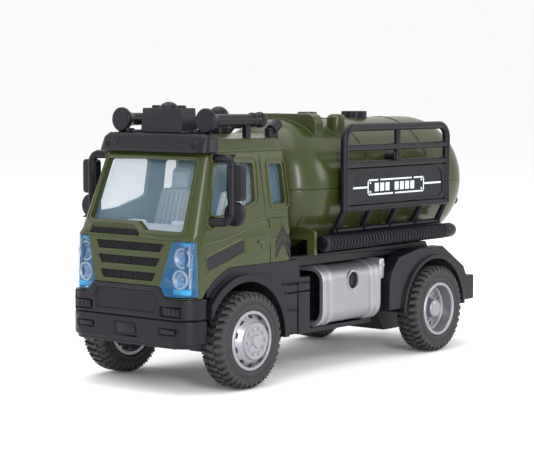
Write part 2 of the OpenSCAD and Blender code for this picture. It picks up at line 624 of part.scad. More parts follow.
fuel_in = spine_x + 0.15;     // inner face, against the spine
module fuel_section(grow) offset(delta = grow)
    round_rect([fuel_in - 6, fuel_z], [fuel_x - strap_t, fuel_z + fuel_h], 4.6);
module fuel_tank() intersection() {
    difference() {
        union() {
            front_plate(fuel_y + 0.6, fuel_y + fuel_l - 1.2) fuel_section(0);
            // strap pairs at both ends
            for (y = [0, 3.4, fuel_l - 6, fuel_l - 3.2]) front_plate(fuel_y + y, fuel_y + y + 2.2)
                fuel_section(strap_t);
        }
        // open front end and the round filler recess
        front_plate(fuel_y - 1, fuel_y + 6) fuel_section(-1.1);
        translate([0, fuel_y + 15.8, fuel_z + 13]) cross_bar(2.8, fuel_x - 2, fuel_x + 2);
    }
    block([fuel_in, 0, 0], [60, 200, 100]);
}
module fuel_tank_left() color(silver) place() fuel_tank();
module fuel_tank_right() color(silver) place() right_side() fuel_tank();

module fuel_bracket() block([fuel_x - 6.4, fuel_y + fuel_l - 1 + seat_gap, fuel_z + 12],
    [fuel_x - 0.3, fuel_y + fuel_l + 1.5, deck_z - deck_t - seat_gap]);
module fuel_bracket_left() color(silver) place() fuel_bracket();
module fuel_bracket_right() color(silver) place() right_side() fuel_bracket();

// ---------------------------------------------------------------- chassis

spine_roof = 2;               // thickness of the spine under the tank
fender_x = arch_x + 0.6;
fender_r = tyre_r + 2.4;
fender_y = fuel_y + fuel_l + 1.6;         // front edge of the rear fender's panel
module fender() difference() {
    union() {
        translate([0, rear_y, tyre_r]) cross_bar(fender_r + 1.2, spine_x - 0.5, fender_x);
        translate([0, rear_y, tyre_r]) cross_bar(fender_r + 1.3, fender_x - 4, fender_x);
        // broad side panel from the fuel tank to the wheel, and its slope behind the wheel
        side_plate(side_x - 3, fender_x - 0.9) polygon([
            [fender_y, 15.6], [rear_y, 15.6], [rear_y + 17, tyre_r], [rear_y + 21.6, tyre_r],
            [rear_y + 20.6, 22], [rear_y + 18, tail_z + 1], [rear_y + 5.4, deck_z + 0.6],
            [rear_y - 9, deck_z + 0.6], [fender_y + 5, deck_z - 1.4], [fender_y + 1.2, deck_z - 5.6],
            [fender_y, deck_z - 9.6]]);
    }
    translate([0, rear_y, tyre_r]) cross_bar(fender_r, spine_x - 1, fender_x + 1);
    block([0, 0, -10], [60, 200, tyre_r]);
}
tank_screw_y = [tank_y0 + 24, tank_y0 + 62];
base_screw_y = [-12.6, 46, case_y0 - 4];
module cradle(y) difference() {
    block([-16, y - 2.5, deck_z - 0.5], [16, y + 2.5, deck_z + 6.8]);
    translate([0, y - 3, tank_z]) rotate([-90, 0, 0]) cylinder(r = tank_r + 0.05, h = 6, $fn = 96);
}
module chassis_frame() color(black) place() difference() {
    union() {
        // spine, a trough that opens downwards
        side_plate(-spine_x, spine_x) polygon([[-17, base_z + 1.6], [rear_y + 24, base_z + 4],
            [tail_y, tail_z - 5], [tail_y, tail_z], [rear_y + 20, tail_z + 2], [rear_y + 6, deck_z],
            [deck_y0, deck_z], [deck_y0, 28], [16, cab_z0 - 2], [-14, 24.5], [-17, 22]]);
        // deck under the tank
        side_plate(-rail_x, rail_x) polygon([[deck_y0, deck_z - deck_t],
            [rear_y + 7, deck_z - deck_t], [rear_y + 6, deck_z], [deck_y0, deck_z]]);
        for (s = [-1, 1]) side_plate(s * rail_x - (s > 0 ? 2.2 : 0), s * rail_x + (s > 0 ? 0 : 2.2))
            polygon([[deck_y0, deck_z - deck_t], [rear_y + 6, deck_z - deck_t], [rear_y + 4, rail_z1],
                [deck_y0, rail_z1]]);
        side_plate(-side_x + 4, side_x - 4) polygon([[rear_y + 5, deck_z], [rear_y + 5, deck_z - 2],
            [rear_y + 20, tail_z], [tail_y, tail_z - 3], [tail_y, tail_z], [rear_y + 20, tail_z + 2]]);
        fender();
        right_side() fender();
        cradle(tank_y0 + 14);
        cradle(rear_y + 3);
        block([-12, deck_y0 + 0.3, deck_z - 0.5], [12, deck_y0 + 1.9, deck_z + 6]);
    }
    // hollow of the spine
    side_plate(-spine_x + 1.4, spine_x - 1.4) polygon([[-15.6, 0], [rear_y + 22, 0],
        [tail_y - 3, tail_z - 4.2], [rear_y + 19, tail_z - 0.4], [rear_y + 4, deck_z - spine_roof],
        [deck_y0 + 1.4, deck_z - spine_roof], [deck_y0 + 1.4, 26.6], [16, cab_z0 - 3.6],
        [-13.4, 23], [-15.6, 20.6]]);
    translate([0, 0, tyre_r]) cross_bar(axle_d / 2 + 0.6, -60, 60);
    translate([0, rear_y, tyre_r]) cross_bar(axle_d / 2 + run_gap, -60, 60);
    for (y = tank_screw_y) translate([0, y, deck_z - 5]) cylinder(d = 2.2, h = 12, $fn = 24);
    block([-60, tail_y - 7.1, 0], [60, tail_y + 9, rear_bumper_z1 + seat_gap]);
}

// Bottom cover with the front axle's bearing block and the screw posts
module base_cover() color(black) place() difference() {
    union() {
        block([-spine_x + 1.5, -15.4, base_z], [spine_x - 1.5, case_y0 - 0.6, base_z + cover_t]);
        block([-side_x + 4, cab_rear + 6, base_z], [side_x - 4, fuel_y + fuel_l - 1, base_z + cover_t]);
        for (s = [-1, 1]) block([s * 9.4 - 2.4, -4, base_z - 2], [s * 9.4 + 2.4, 4, tyre_r + axle_d + 1.6]);
        for (y = base_screw_y) translate([0, y, base_z]) cylinder(d = 5, h = 5, $fn = 32);
    }
    translate([0, 0, tyre_r]) cross_bar(axle_d / 2 + run_gap, -20, 20);
    for (y = base_screw_y) translate([0, y, base_z - 1]) {
        cylinder(d = 2, h = 8, $fn = 24);
        cylinder(d = 3.8, h = 2.2, $fn = 24);
    }
}

rear_bumper_z0 = 14.6;
rear_bumper_z1 = 22.8;
module rear_bumper() color(black) place() difference() {
    union() {
        translate([0, 0, rear_bumper_z0]) linear_extrude(rear_bumper_z1 - rear_bumper_z0)
            polygon([[-side_x, tail_y - 7], [-side_x, tail_y + 0.6],
            [-side_x + 1, tail_y + 1.4], [side_x - 1, tail_y + 1.4], [side_x, tail_y + 0.6],
            [side_x, tail_y - 7], [side_x - 2, tail_y - 7], [side_x - 2, tail_y - 2.4],
            [-side_x + 2, tail_y - 2.4], [-side_x + 2, tail_y - 7]]);
    }
    for (s = [-1, 1]) front_plate(tail_y + 0.7, tail_y + 3)
        round_rect([s * 16 - 5, 16.8], [s * 16 + 5, 20.6], 0.6);
}
module tail_lamps() color("#7a1c1c") place() for (s = [-1, 1])
    front_plate(tail_y + 0.7 + seat_gap, tail_y + 1.5) difference() {
        round_rect([s * 16 - 4.95, 16.85], [s * 16 + 4.95, 20.55], 0.6);
        translate([s * 16 - 0.25, 16.6]) square([0.5, 5]);
    }

// ---------------------------------------------------------------- friction drive

// Trapezoid teeth on a disc; the tooth tips sit well inside the mating gaps
module teeth(n) {
    rp = gear_m * n / 2;
    ro = rp + 0.8 * gear_m;
    ri = rp - 1.1 * gear_m;
    step = 360 / n;
    polygon([for (i = [0 : n - 1], p = [[ri, -0.27], [ro, -0.1], [ro, 0.1], [ri, 0.27]])
        p[0] * [cos((i + p[1]) * step), sin((i + p[1]) * step)]]);
}
// Gear on the X axis; turn is in degrees about +X, measured from +Y
module gear(n, x0, x1, turn, bore) translate([x0, 0, 0]) rotate([90, 0, 90])
    linear_extrude(x1 - x0) difference() {
        rotate(turn) teeth(n);
        if (bore > 0) circle(d = bore, $fn = 48);
    }
mesh_a = 180 - lay_a;                     // direction from the axle to the layshaft
gear_turn = mesh_a;                       // a tooth of the axle gear points at the layshaft
pinion_turn = mesh_a + 180 + 180 / pinion_n;  // and the pinion meets it with a gap

module axle_gear() color("#e8e4d8") place() translate([0, rear_y, tyre_r]) {
    gear(gear_n, -5.6, -3.8, gear_turn, axle_d);
    difference() {
        cross_bar(2.6, -3.82, -1.6);
        cross_bar(axle_d / 2, -4, 0);
    }
}
module layshaft() color("#e8e4d8") place() translate([0, lay_y, lay_z]) {
    cross_bar(pin_d / 2, -case_w / 2 + 0.3, case_w / 2 - 0.3);
    gear(pinion_n, -6.3, -3.2, pinion_turn, 0);
    gear(gear_n, 0.9, 2.5, 0, 0);
    cross_bar(1.7, -3.3, 1);
}
module flywheel() color("#8d9096") place() translate([0, fly_y, fly_z]) {
    cross_bar(pin_d / 2, -case_w / 2 + 0.3, case_w / 2 - 0.3);
    gear(pinion_n, 0.4, 3, 180 / pinion_n, 0);
    cross_bar(flywheel_r, 3.6, 7.2);
    cross_bar(1.2, 2.9, 3.7);
}
// Side outline of the drive's case; its floor drops under the axle gear
module case_outline(grow) offset(delta = grow) polygon([[case_y0, case_low], [rear_y - 10.5, case_low],
    [rear_y - 5, case_z0], [case_y1, case_z0], [case_y1, case_z1], [case_y0, case_z1]]);
module case_shell(x0, x1, open) difference() {
    side_plate(x0, x1) case_outline(0);
    side_plate(open ? x0 - 1 : x0 + case_t, open ? x1 - case_t : x1 + 1) case_outline(-case_t);
    translate([0, rear_y, tyre_r]) cross_bar(axle_d / 2 + run_gap, -40, 40);
    for (p = [[lay_y, lay_z], [fly_y, fly_z]]) translate([0, p[0], p[1]])
        cross_bar(pin_d / 2 + run_gap, -40, 40);
}
module motor_case_left() color(black) place() case_shell(0.01, case_w / 2, true);
module motor_case_right() color(black) place() case_shell(-case_w / 2, -0.01, false);

// ---------------------------------------------------------------- wheels

module axle() color("#c4c6ca") cross_bar(axle_d / 2, -tyre_x - 2.4, tyre_x + 2.4);
module front_axle() place() translate([0, 0, tyre_r]) axle();
module rear_axle() place() translate([0, rear_y, tyre_r]) axle();

tyre_half = tyre_w / 2;
// Revolved about X; outlines are [radius, distance outwards from the middle of the tyre]
module spin(x) translate([x, 0, 0]) rotate([0, 90, 0]) rotate_extrude($fn = 96) children();
module tyre() spin(tyre_x) difference() {
    polygon([[rim_r, -tyre_half + 0.5], [rim_r + 1.2, -tyre_half], [tyre_r - 2.2, -tyre_half],
        [tyre_r - 0.5, -tyre_half + 0.7], [tyre_r, -tyre_half + 1.5], [tyre_r, tyre_half - 1.5],
        [tyre_r - 0.5, tyre_half - 0.7], [tyre_r - 2.2, tyre_half], [rim_r + 1.2, tyre_half],
        [rim_r, tyre_half - 0.5]]);
    for (x = [-1.3, 1.3]) translate([tyre_r - 0.5, x - 0.25]) square([1, 0.5]);
}
// Barrel that the tyre sits on; it is open on the inner side
rim_out = rim_r - seat_gap;
module rim_barrel() difference() {
    spin(tyre_x) polygon([[rim_out - 1.1, -tyre_half + 0.3], [rim_out, -tyre_half + 0.3],
        [rim_out, tyre_half - 0.2], [rim_out - 0.3, tyre_half + 0.15], [rim_out - 1, tyre_half + 0.15],
        [rim_out - 1.3, tyre_half - 0.6]]);
    spin(tyre_x) square(0.1);
}
module front_rim() difference() {
    union() {
        rim_barrel();
        // cone that rises to the hub disc, with a ring of windows
        spin(tyre_x) polygon([[0, 0], [3, 0], [3, 2.8], [rim_out - 0.9, 1], [rim_out - 0.9, 2.6],
            [5.4, tyre_half + 0.9], [5.3, tyre_half + 1.5], [1.9, tyre_half + 1.5],
            [1.7, tyre_half + 2.1], [0, tyre_half + 2.1]]);
        translate([tyre_x, 0, 0]) for (a = [0 : 36 : 324]) rotate([a, 0, 0])
            translate([tyre_half + 1.3, 3.8, 0]) rotate([0, 90, 0]) cylinder(d = 1, h = 0.7, $fn = 6);
    }
    cross_bar(axle_d / 2, 0, tyre_x + 2.4);
    translate([tyre_x, 0, 0]) for (a = [18 : 36 : 342]) rotate([a, 0, 0])
        translate([-1, 6.6, -0.85]) cube([9, 1, 1.7]);
}
module rear_rim() difference() {
    union() {
        rim_barrel();
        // deep dish with a hub that stands up from its floor
        spin(tyre_x) polygon([[0, -1.6], [rim_out - 0.9, -1.6], [rim_out - 0.9, 0.4], [7, -0.2], [3.2, -0.2],
            [3, tyre_half - 1.6], [2.3, tyre_half - 1.1], [0, tyre_half - 1.1]]);
        // bosses round the holes
        for (a = [30 : 60 : 330])
            rotate([a, 0, 0]) translate([0, 5, 0]) cross_bar(1.35, tyre_x - 1, tyre_x + 0.5);
    }
    cross_bar(axle_d / 2, 0, tyre_x + 2.4);
    for (a = [30 : 60 : 330]) rotate([a, 0, 0]) translate([0, 5, 0]) cross_bar(0.7, tyre_x - 4, tyre_x + 3);
}
module at_wheel(y, left) place() translate([0, y, tyre_r]) {
    if (left) children();
    else mirror([1, 0, 0]) children();
}
module front_rim_left() color(silver) at_wheel(0, true) front_rim();
module front_rim_right() color(silver) at_wheel(0, false) front_rim();
module rear_rim_left() color(silver) at_wheel(rear_y, true) rear_rim();
module rear_rim_right() color(silver) at_wheel(rear_y, false) rear_rim();
module front_tyre_left() color("#1e1e20") at_wheel(0, true) tyre();
module front_tyre_right() color("#1e1e20") at_wheel(0, false) tyre();
module rear_tyre_left() color("#1e1e20") at_wheel(rear_y, true) tyre();
module rear_tyre_right() color("#1e1e20") at_wheel(rear_y, false) tyre();

// ---------------------------------------------------------------- screws

// Pan-head screw pointing up, with its head's lower face at the origin
head_h = 1.1;
module screw(head, shank, l) {
    difference() {
        cylinder(d = head, h = head_h, $fn = 32);
        for (a = [0, 90]) rotate(a) translate([-head, -0.2, -1]) cube([2 * head, 0.4, 1.4]);
    }
    translate([0, 0, head_h - 0.1]) cylinder(d = shank, h = l - head_h + 0.1, $fn = 24);
}
module base_screws() color(silver) place() for (y = base_screw_y)
    translate([0, y, base_z + 0.1]) screw(3.6, 1.9, 5);
module tank_screws() color(silver) place() for (y = tank_screw_y)
    translate([0, y, deck_z - spine_roof - head_h - seat_gap]) screw(3.4, 1.65, 9);
module cab_screws() color(silver) place() for (s = [-1, 1])
    translate([s * cab_screw_x, cab_screw_y, cab_z0 + 6.3 - head_h - seat_gap]) screw(3, 1.55, 7);

chassis_frame();
base_cover();
front_bumper();
rear_bumper();
cab_skirt();
cab_shell();
cab_glazing();
grille_insert();
headlamp_left();
headlamp_right();
cab_interior();
steering_wheel();
roof_visor();
roof_lamp_box();
roof_lamp_dome();
air_horn_left();
air_horn_right();
roof_beacon();
roof_spotlights();
mirror_left();
mirror_right();
tank_upper_half();
tank_lower_half();
manhole_cover();
filler_cap();
rear_valves();
side_rack_left();
side_rack_right();
sign_board_left();
sign_board_right();
hose_left();
hose_right();
fuel_tank_left();
fuel_tank_right();
fuel_bracket_left();
fuel_bracket_right();
tail_lamps();
motor_case_left();
motor_case_right();
axle_gear();
layshaft();
flywheel();
front_axle();
rear_axle();
front_rim_left();
front_rim_right();
rear_rim_left();
rear_rim_right();
front_tyre_left();
front_tyre_right();
rear_tyre_left();
rear_tyre_right();
base_screws();
tank_screws();
cab_screws();
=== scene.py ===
import json
import math

import bmesh
import bpy
from mathutils import Matrix, Vector


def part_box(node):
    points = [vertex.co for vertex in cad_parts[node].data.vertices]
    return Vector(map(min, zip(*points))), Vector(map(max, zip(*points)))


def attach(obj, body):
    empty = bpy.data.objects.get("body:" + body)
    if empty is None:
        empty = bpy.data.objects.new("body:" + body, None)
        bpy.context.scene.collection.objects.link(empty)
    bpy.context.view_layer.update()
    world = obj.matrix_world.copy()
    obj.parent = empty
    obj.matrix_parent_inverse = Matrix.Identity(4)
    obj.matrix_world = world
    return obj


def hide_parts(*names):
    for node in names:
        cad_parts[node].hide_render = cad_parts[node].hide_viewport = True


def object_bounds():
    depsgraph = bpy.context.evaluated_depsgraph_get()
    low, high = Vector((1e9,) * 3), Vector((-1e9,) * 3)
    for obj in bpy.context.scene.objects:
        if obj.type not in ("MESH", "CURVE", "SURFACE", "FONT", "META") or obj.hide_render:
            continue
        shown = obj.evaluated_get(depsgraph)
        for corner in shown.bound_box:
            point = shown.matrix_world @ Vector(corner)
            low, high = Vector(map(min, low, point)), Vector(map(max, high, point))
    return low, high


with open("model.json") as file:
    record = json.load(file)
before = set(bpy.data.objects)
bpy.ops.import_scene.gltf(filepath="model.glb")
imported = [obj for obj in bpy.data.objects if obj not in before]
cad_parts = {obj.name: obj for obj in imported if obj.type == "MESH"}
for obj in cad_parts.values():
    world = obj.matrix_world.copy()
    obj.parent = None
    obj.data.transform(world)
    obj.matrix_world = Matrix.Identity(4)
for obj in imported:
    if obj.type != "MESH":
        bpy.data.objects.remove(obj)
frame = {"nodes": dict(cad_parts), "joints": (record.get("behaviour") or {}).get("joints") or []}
cad_low, cad_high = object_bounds()

# ---------------------------------------------------------------- studio
# A wide pale floor, even white light from all round, and soft boxes: a tall one in front of the
# cab's corner, a wide one overhead and two fills.

floor_form = bmesh.new()
bmesh.ops.create_circle(floor_form, cap_ends=True, segments=96, radius=8.0)
bmesh.ops.translate(floor_form, verts=floor_form.verts, vec=(0, 0, cad_low.z - 0.0002))
floor_mesh = bpy.data.meshes.new("studio_floor")
floor_form.to_mesh(floor_mesh)
floor_form.free()
floor = bpy.data.objects.new("studio_floor", floor_mesh)
bpy.context.scene.collection.objects.link(floor)
paper = bpy.data.materials.new("studio paper")
paper.use_nodes = True
paper_shader = paper.node_tree.nodes["Principled BSDF"]
paper_shader.inputs["Base Color"].default_value = (1.0, 1.0, 1.0, 1)
paper_shader.inputs["Roughness"].default_value = 1.0
paper_shader.inputs["Specular IOR Level"].default_value = 0.0
floor_mesh.materials.append(paper)

studio = bpy.data.worlds.new("studio air")
studio.use_nodes = True
studio.node_tree.nodes["Background"].inputs["Color"].default_value = (1.0, 1.0, 1.0, 1)
studio.node_tree.nodes["Background"].inputs["Strength"].default_value = 0.96
bpy.context.scene.world = studio
bpy.context.scene.view_settings.view_transform = "Standard"

middle = (cad_low + cad_high) / 2


def soft_box(name, place, wide, high, watts):
    lamp = bpy.data.lights.new(name, "AREA")
    lamp.shape = "RECTANGLE"
    lamp.size, lamp.size_y = wide, high
    lamp.energy = watts
    box = bpy.data.objects.new(name, lamp)
    bpy.context.scene.collection.objects.link(box)
    box.location = place
    box.rotation_mode = "QUATERNION"
    box.rotation_quaternion = (middle - Vector(place)).to_track_quat("-Z", "Y")


soft_box("key_box", (0.50, -0.34, 0.22), 0.07, 0.40, 2.2)
soft_box("top_box", (-0.05, -0.05, 0.62), 0.6, 0.5, 2.0)
soft_box("left_fill", (-0.60, -0.45, 0.25), 0.3, 0.4, 0.7)
soft_box("rear_fill", (0.55, 0.45, 0.30), 0.2, 0.3, 0.9)

# The camera stands a good half metre off the cab's left front corner, a little above the truck
lens = bpy.data.cameras.new("camera")
lens.lens = 118.94
lens.sensor_width = 36.0
lens.clip_start, lens.clip_end = 0.01, 50
camera = bpy.data.objects.new("camera", lens)
bpy.context.scene.collection.objects.link(camera)
camera_right = Vector((0.77257891, 0.63491607, 0.00184615))
camera_up = Vector((-0.05168272, 0.05999001, 0.99686012))
camera_back = Vector((0.63281176, -0.77024852, 0.07916121))
turn = Matrix((camera_right, camera_up, camera_back)).transposed().to_4x4()
camera.matrix_world = Matrix.Translation((0.349408, -0.436756, 0.087157)) @ turn
bpy.context.scene.camera = camera

# ---------------------------------------------------------------- chassis frame
# One black moulding: a trough-shaped spine, the deck under the tank, and the rear mudguards.
# Semi-gloss plastic straight from the mould, with soft edges and a thin rolled lip on each arch.

MM = 0.001
joint_at = {j["name"]: Vector(j["pos_m"]) for j in frame["joints"]}
front_y = joint_at["front_axle_spin"].y   # lengths along the truck are measured from the front axle
axle_z = joint_at["front_axle_spin"].z


def at(x, y, z):
    return Vector((x * MM, front_y + y * MM, z * MM))


def socket(group, name, way, kind, value=None):
    made = group.interface.new_socket(name, in_out=way, socket_type=kind)
    if value is not None:
        made.default_value = value
    return made


def node(tree, kind, values=(), **settings):
    made = tree.nodes.new(kind)
    for key, value in settings.items():
        setattr(made, key, value)
    for key, value in dict(values).items():
        made.inputs[key].default_value = value
    return made


# Fine mould grain and slow patches of tone, both fixed to the piece
grain = bpy.data.node_groups.new("mould grain", "ShaderNodeTree")
socket(grain, "Grain Scale", "INPUT", "NodeSocketFloat", 2600.0)
socket(grain, "Patch Scale", "INPUT", "NodeSocketFloat", 60.0)
socket(grain, "Fine", "OUTPUT", "NodeSocketFloat")
socket(grain, "Patches", "OUTPUT", "NodeSocketFloat")
grain_in = node(grain, "NodeGroupInput")
grain_out = node(grain, "NodeGroupOutput")
grain_place = node(grain, "ShaderNodeTexCoord")
fine_noise = node(grain, "ShaderNodeTexNoise", {"Detail": 3.0, "Roughness": 0.6})
patch_noise = node(grain, "ShaderNodeTexNoise", {"Detail": 4.0, "Roughness": 0.55})
for noise, scale, result in ((fine_noise, "Grain Scale", "Fine"), (patch_noise, "Patch Scale", "Patches")):
    grain.links.new(grain_place.outputs["Object"], noise.inputs["Vector"])
    grain.links.new(grain_in.outputs[scale], noise.inputs["Scale"])
    grain.links.new(noise.outputs["Fac"], grain_out.inputs[result])

# Outside edges painted a little brighter: a painted highlight, broken up by noise
edge_highlight = bpy.data.node_groups.new("painted edge highlight", "ShaderNodeTree")
socket(edge_highlight, "Start", "INPUT", "NodeSocketFloat", 0.52)
socket(edge_highlight, "Full", "INPUT", "NodeSocketFloat", 0.62)
socket(edge_highlight, "Breakup Scale", "INPUT", "NodeSocketFloat", 900.0)
socket(edge_highlight, "Mask", "OUTPUT", "NodeSocketFloat")
highlight_in = node(edge_highlight, "NodeGroupInput")
highlight_out = node(edge_highlight, "NodeGroupOutput")
highlight_shape = node(edge_highlight, "ShaderNodeNewGeometry")
highlight_range = node(edge_highlight, "ShaderNodeMapRange")
highlight_place = node(edge_highlight, "ShaderNodeTexCoord")
highlight_noise = node(edge_highlight, "ShaderNodeTexNoise", {"Detail": 2.0})
highlight_mix = node(edge_highlight, "ShaderNodeMath", operation="MULTIPLY")
edge_highlight.links.new(highlight_shape.outputs["Pointiness"], highlight_range.inputs["Value"])
edge_highlight.links.new(highlight_in.outputs["Start"], highlight_range.inputs["From Min"])
edge_highlight.links.new(highlight_in.outputs["Full"], highlight_range.inputs["From Max"])
edge_highlight.links.new(highlight_place.outputs["Object"], highlight_noise.inputs["Vector"])
edge_highlight.links.new(highlight_in.outputs["Breakup Scale"], highlight_noise.inputs["Scale"])
edge_highlight.links.new(highlight_range.outputs["Result"], highlight_mix.inputs[0])
edge_highlight.links.new(highlight_noise.outputs["Fac"], highlight_mix.inputs[1])
edge_highlight.links.new(highlight_mix.outputs["Value"], highlight_out.inputs["Mask"])


def moulded(name, colour, second, roughness, spread=0.06, edge=None, highlight_share=0.5,
            grain_scale=2600.0, patch_scale=60.0, grain_depth=0.006, **constants):
    """A plastic or coating: two close tones in patches, a fine grain and outside edges painted brighter as a
    highlight.
    """
    made = bpy.data.materials.new(name)
    made.use_nodes = True
    tree = made.node_tree
    shader = tree.nodes["Principled BSDF"]
    surface = node(tree, "ShaderNodeGroup", node_tree=grain)
    surface.inputs["Grain Scale"].default_value = grain_scale
    surface.inputs["Patch Scale"].default_value = patch_scale
    highlight_node = node(tree, "ShaderNodeGroup", node_tree=edge_highlight)
    tones = node(tree, "ShaderNodeMix", data_type="RGBA")
    tones.inputs[6].default_value = (*colour, 1)
    tones.inputs[7].default_value = (*second, 1)
    tree.links.new(surface.outputs["Patches"], tones.inputs[0])
    # The edge colour laid on outside edges is a painted highlight
    highlighted = node(tree, "ShaderNodeMix", data_type="RGBA")
    highlighted.inputs[7].default_value = (*(edge or [min(1, c * 1.8 + 0.02) for c in second]), 1)
    share = node(tree, "ShaderNodeMath", {1: highlight_share}, operation="MULTIPLY")
    tree.links.new(highlight_node.outputs["Mask"], share.inputs[0])
    tree.links.new(share.outputs["Value"], highlighted.inputs[0])
    tree.links.new(tones.outputs[2], highlighted.inputs[6])
    tree.links.new(highlighted.outputs[2], shader.inputs["Base Color"])
    shine = node(tree, "ShaderNodeMapRange", {"To Min": roughness - spread, "To Max": roughness + spread})
    tree.links.new(surface.outputs["Patches"], shine.inputs["Value"])
    tree.links.new(shine.outputs["Result"], shader.inputs["Roughness"])
    bump = node(tree, "ShaderNodeBump", {"Strength": 0.5, "Distance": grain_depth * MM})
    tree.links.new(surface.outputs["Fine"], bump.inputs["Height"])
    tree.links.new(bump.outputs["Normal"], shader.inputs["Normal"])
    for key, value in constants.items():
        shader.inputs[key.replace("_", " ")].default_value = value
    return made


# Its lighter edge colour is a painted highlight on outside edges
black = moulded("black moulding", (0.0042, 0.0041, 0.0072), (0.0072, 0.0070, 0.0112), 0.36, grain_depth=0.006,
                edge=(0.030, 0.030, 0.036), Specular_IOR_Level=0.24)


def finish_mesh(name, form, sharp=36):
    """The form as a mesh, smooth but for its real edges."""
    mesh = bpy.data.meshes.new(name)
    form.to_mesh(mesh)
    form.free()
    for face in mesh.polygons:
        face.use_smooth = True
    mesh.set_sharp_from_angle(angle=math.radians(sharp))
    return mesh


def add_piece(name, mesh, material, body="chassis", stands_for=()):
    piece = bpy.data.objects.new(name, mesh)
    bpy.context.scene.collection.objects.link(piece)
    mesh.materials.clear()
    mesh.materials.append(material)
    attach(piece, body)
    if stands_for:
        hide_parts(*stands_for)
    return piece


def settle(piece):
    """Turns what the modifiers make into the piece's own mesh and removes them."""
    shown = piece.evaluated_get(bpy.context.evaluated_depsgraph_get())
    mesh = bpy.data.meshes.new_from_object(shown)
    piece.modifiers.clear()
    piece.data = mesh
    mesh.name = piece.name


def merged(mesh, weld):
    """A mesh's form with its double points welded and its flat faces joined."""
    form = bmesh.new()
    form.from_mesh(mesh)
    bmesh.ops.remove_doubles(form, verts=form.verts, dist=weld)
    bmesh.ops.dissolve_limit(form, angle_limit=math.radians(0.6), verts=form.verts, edges=form.edges)
    return form


def rounded(name, cad_node, edge_radius, cutters=(), steps=2):
    """A copy of a CAD moulding with the small edge radius of a real one, less the cutters."""
    mesh = finish_mesh(name, merged(frame["nodes"][cad_node].data, 1e-6))
    piece = bpy.data.objects.new(name, mesh)
    bpy.context.scene.collection.objects.link(piece)
    for i, cutter in enumerate(cutters):
        cut = piece.modifiers.new(f"cut {i}", "BOOLEAN")
        cut.operation, cut.solver, cut.object = "DIFFERENCE", "EXACT", cutter
    if cutters:
        settle(piece)
        piece.data = finish_mesh(name, merged(piece.data, 2e-6))
        for cutter in cutters:
            bpy.data.objects.remove(cutter)
    soften = piece.modifiers.new("soften", "BEVEL")
    soften.width = edge_radius * MM
    soften.segments = steps
    soften.limit_method = "ANGLE"
    soften.angle_limit = math.radians(33)
    soften.use_clamp_overlap = False
    soften.miter_outer = "MITER_ARC"
    settle(piece)
    piece.data.set_sharp_from_angle(angle=math.radians(48))
    weigh = piece.modifiers.new("weigh", "WEIGHTED_NORMAL")
    weigh.keep_sharp = True
    settle(piece)
    mesh = piece.data
    bpy.data.objects.remove(piece)
    return mesh


def soft_block(form, low, high, radius, steps=2):
    """A box between two corners with rounded edges."""
    low, high = (Vector(map(f, low, high)) for f in (min, max))
    made = bmesh.ops.create_cube(form, size=1.0, matrix=Matrix.Translation((low + high) / 2)
                                 @ Matrix.Diagonal((*(high - low), 1)))
    edges = list(dict.fromkeys(e for v in made["verts"] for e in v.link_edges))   # each once, in order
    bmesh.ops.bevel(form, geom=edges, offset=radius * MM, segments=steps, profile=0.5, affect="EDGES",
                    clamp_overlap=True)


def cutter(form):
    """A form as an object that rounded() takes away from a moulding."""
    made = bpy.data.objects.new("cutter", finish_mesh("cutter", form))
    bpy.context.scene.collection.objects.link(made)
    return made


add_piece("chassis_moulding", rounded("chassis_moulding", "chassis_frame", 0.22), black,
          stands_for=["chassis_frame"])


def turns(count):
    """Angles spaced evenly round a full turn."""
    return [2 * math.pi * k / count for k in range(count)]


def sweep(form, path, radius, sides=10, closed=False):
    """A round bar along a path; its ends are closed."""
    count = len(path)
    rings = []
    side = None
    for i, point in enumerate(path):
        before = path[i - 1] if closed or i else point
        after = path[(i + 1) % count] if closed or i < count - 1 else point
        along = (after - before).normalized()
        if side is None:
            side = along.cross(Vector((0, 0, 1)) if abs(along.z) < 0.9 else Vector((1, 0, 0)))
        side = (side - along * side.dot(along)).normalized()
        up = along.cross(side)
        rings.append([form.verts.new(point + (side * math.cos(a) + up * math.sin(a)) * radius)
                      for a in turns(sides)])
    for i in range(count if closed else count - 1):
        a, b = rings[i], rings[(i + 1) % count]
        shift = 0
        if closed and i == count - 1:
            shift = min(range(sides), key=lambda s: (a[0].co - b[s].co).length)
        for k in range(sides):
            form.faces.new((a[k], a[(k + 1) % sides], b[(k + 1 + shift) % sides], b[(k + shift) % sides]))
    if not closed:
        form.faces.new(rings[0][::-1])
        form.faces.new(rings[-1])


def bent(points, radius, closed=False, steps=5):
    """The points joined by straight runs with round corners."""
    path = []
    count = len(points)
    for i, p in enumerate(points):
        if not closed and i in (0, count - 1):
            path.append(p)
            continue
        a, b = points[i - 1], points[(i + 1) % count]
        reach_a = min(radius * MM, (a - p).length * 0.45)
        reach_b = min(radius * MM, (b - p).length * 0.45)
        start, end = p + (a - p).normalized() * reach_a, p + (b - p).normalized() * reach_b
        for k in range(steps + 1):
            t = k / steps
            path.append(start * (1 - t) ** 2 + p * 2 * t * (1 - t) + end * t ** 2)
    return path


def spun(form, profile, centre, steps=96, axis="X"):
    """Spins a profile of (along, radius) pairs, in mm, round an axis through the centre."""
    rings = []
    for along, r in profile:
        ring = []
        for k in range(steps if r > 1e-6 else 1):
            a = 2 * math.pi * k / steps
            c, s = math.cos(a) * r * MM, math.sin(a) * r * MM
            offset = {"X": (along * MM, c, s), "Y": (s, along * MM, c), "Z": (c, s, along * MM)}[axis]
            ring.append(form.verts.new(centre + Vector(offset)))
        rings.append(ring)
    for a, b in zip(rings, rings[1:]):
        if len(a) == 1 and len(b) == 1:
            continue
        for k in range(steps):
            j = (k + 1) % steps
            if len(a) == 1:
                form.faces.new((a[0], b[j], b[k]))
            elif len(b) == 1:
                form.faces.new((a[k], a[j], b[0]))
            else:
                form.faces.new((a[k], a[j], b[j], b[k]))


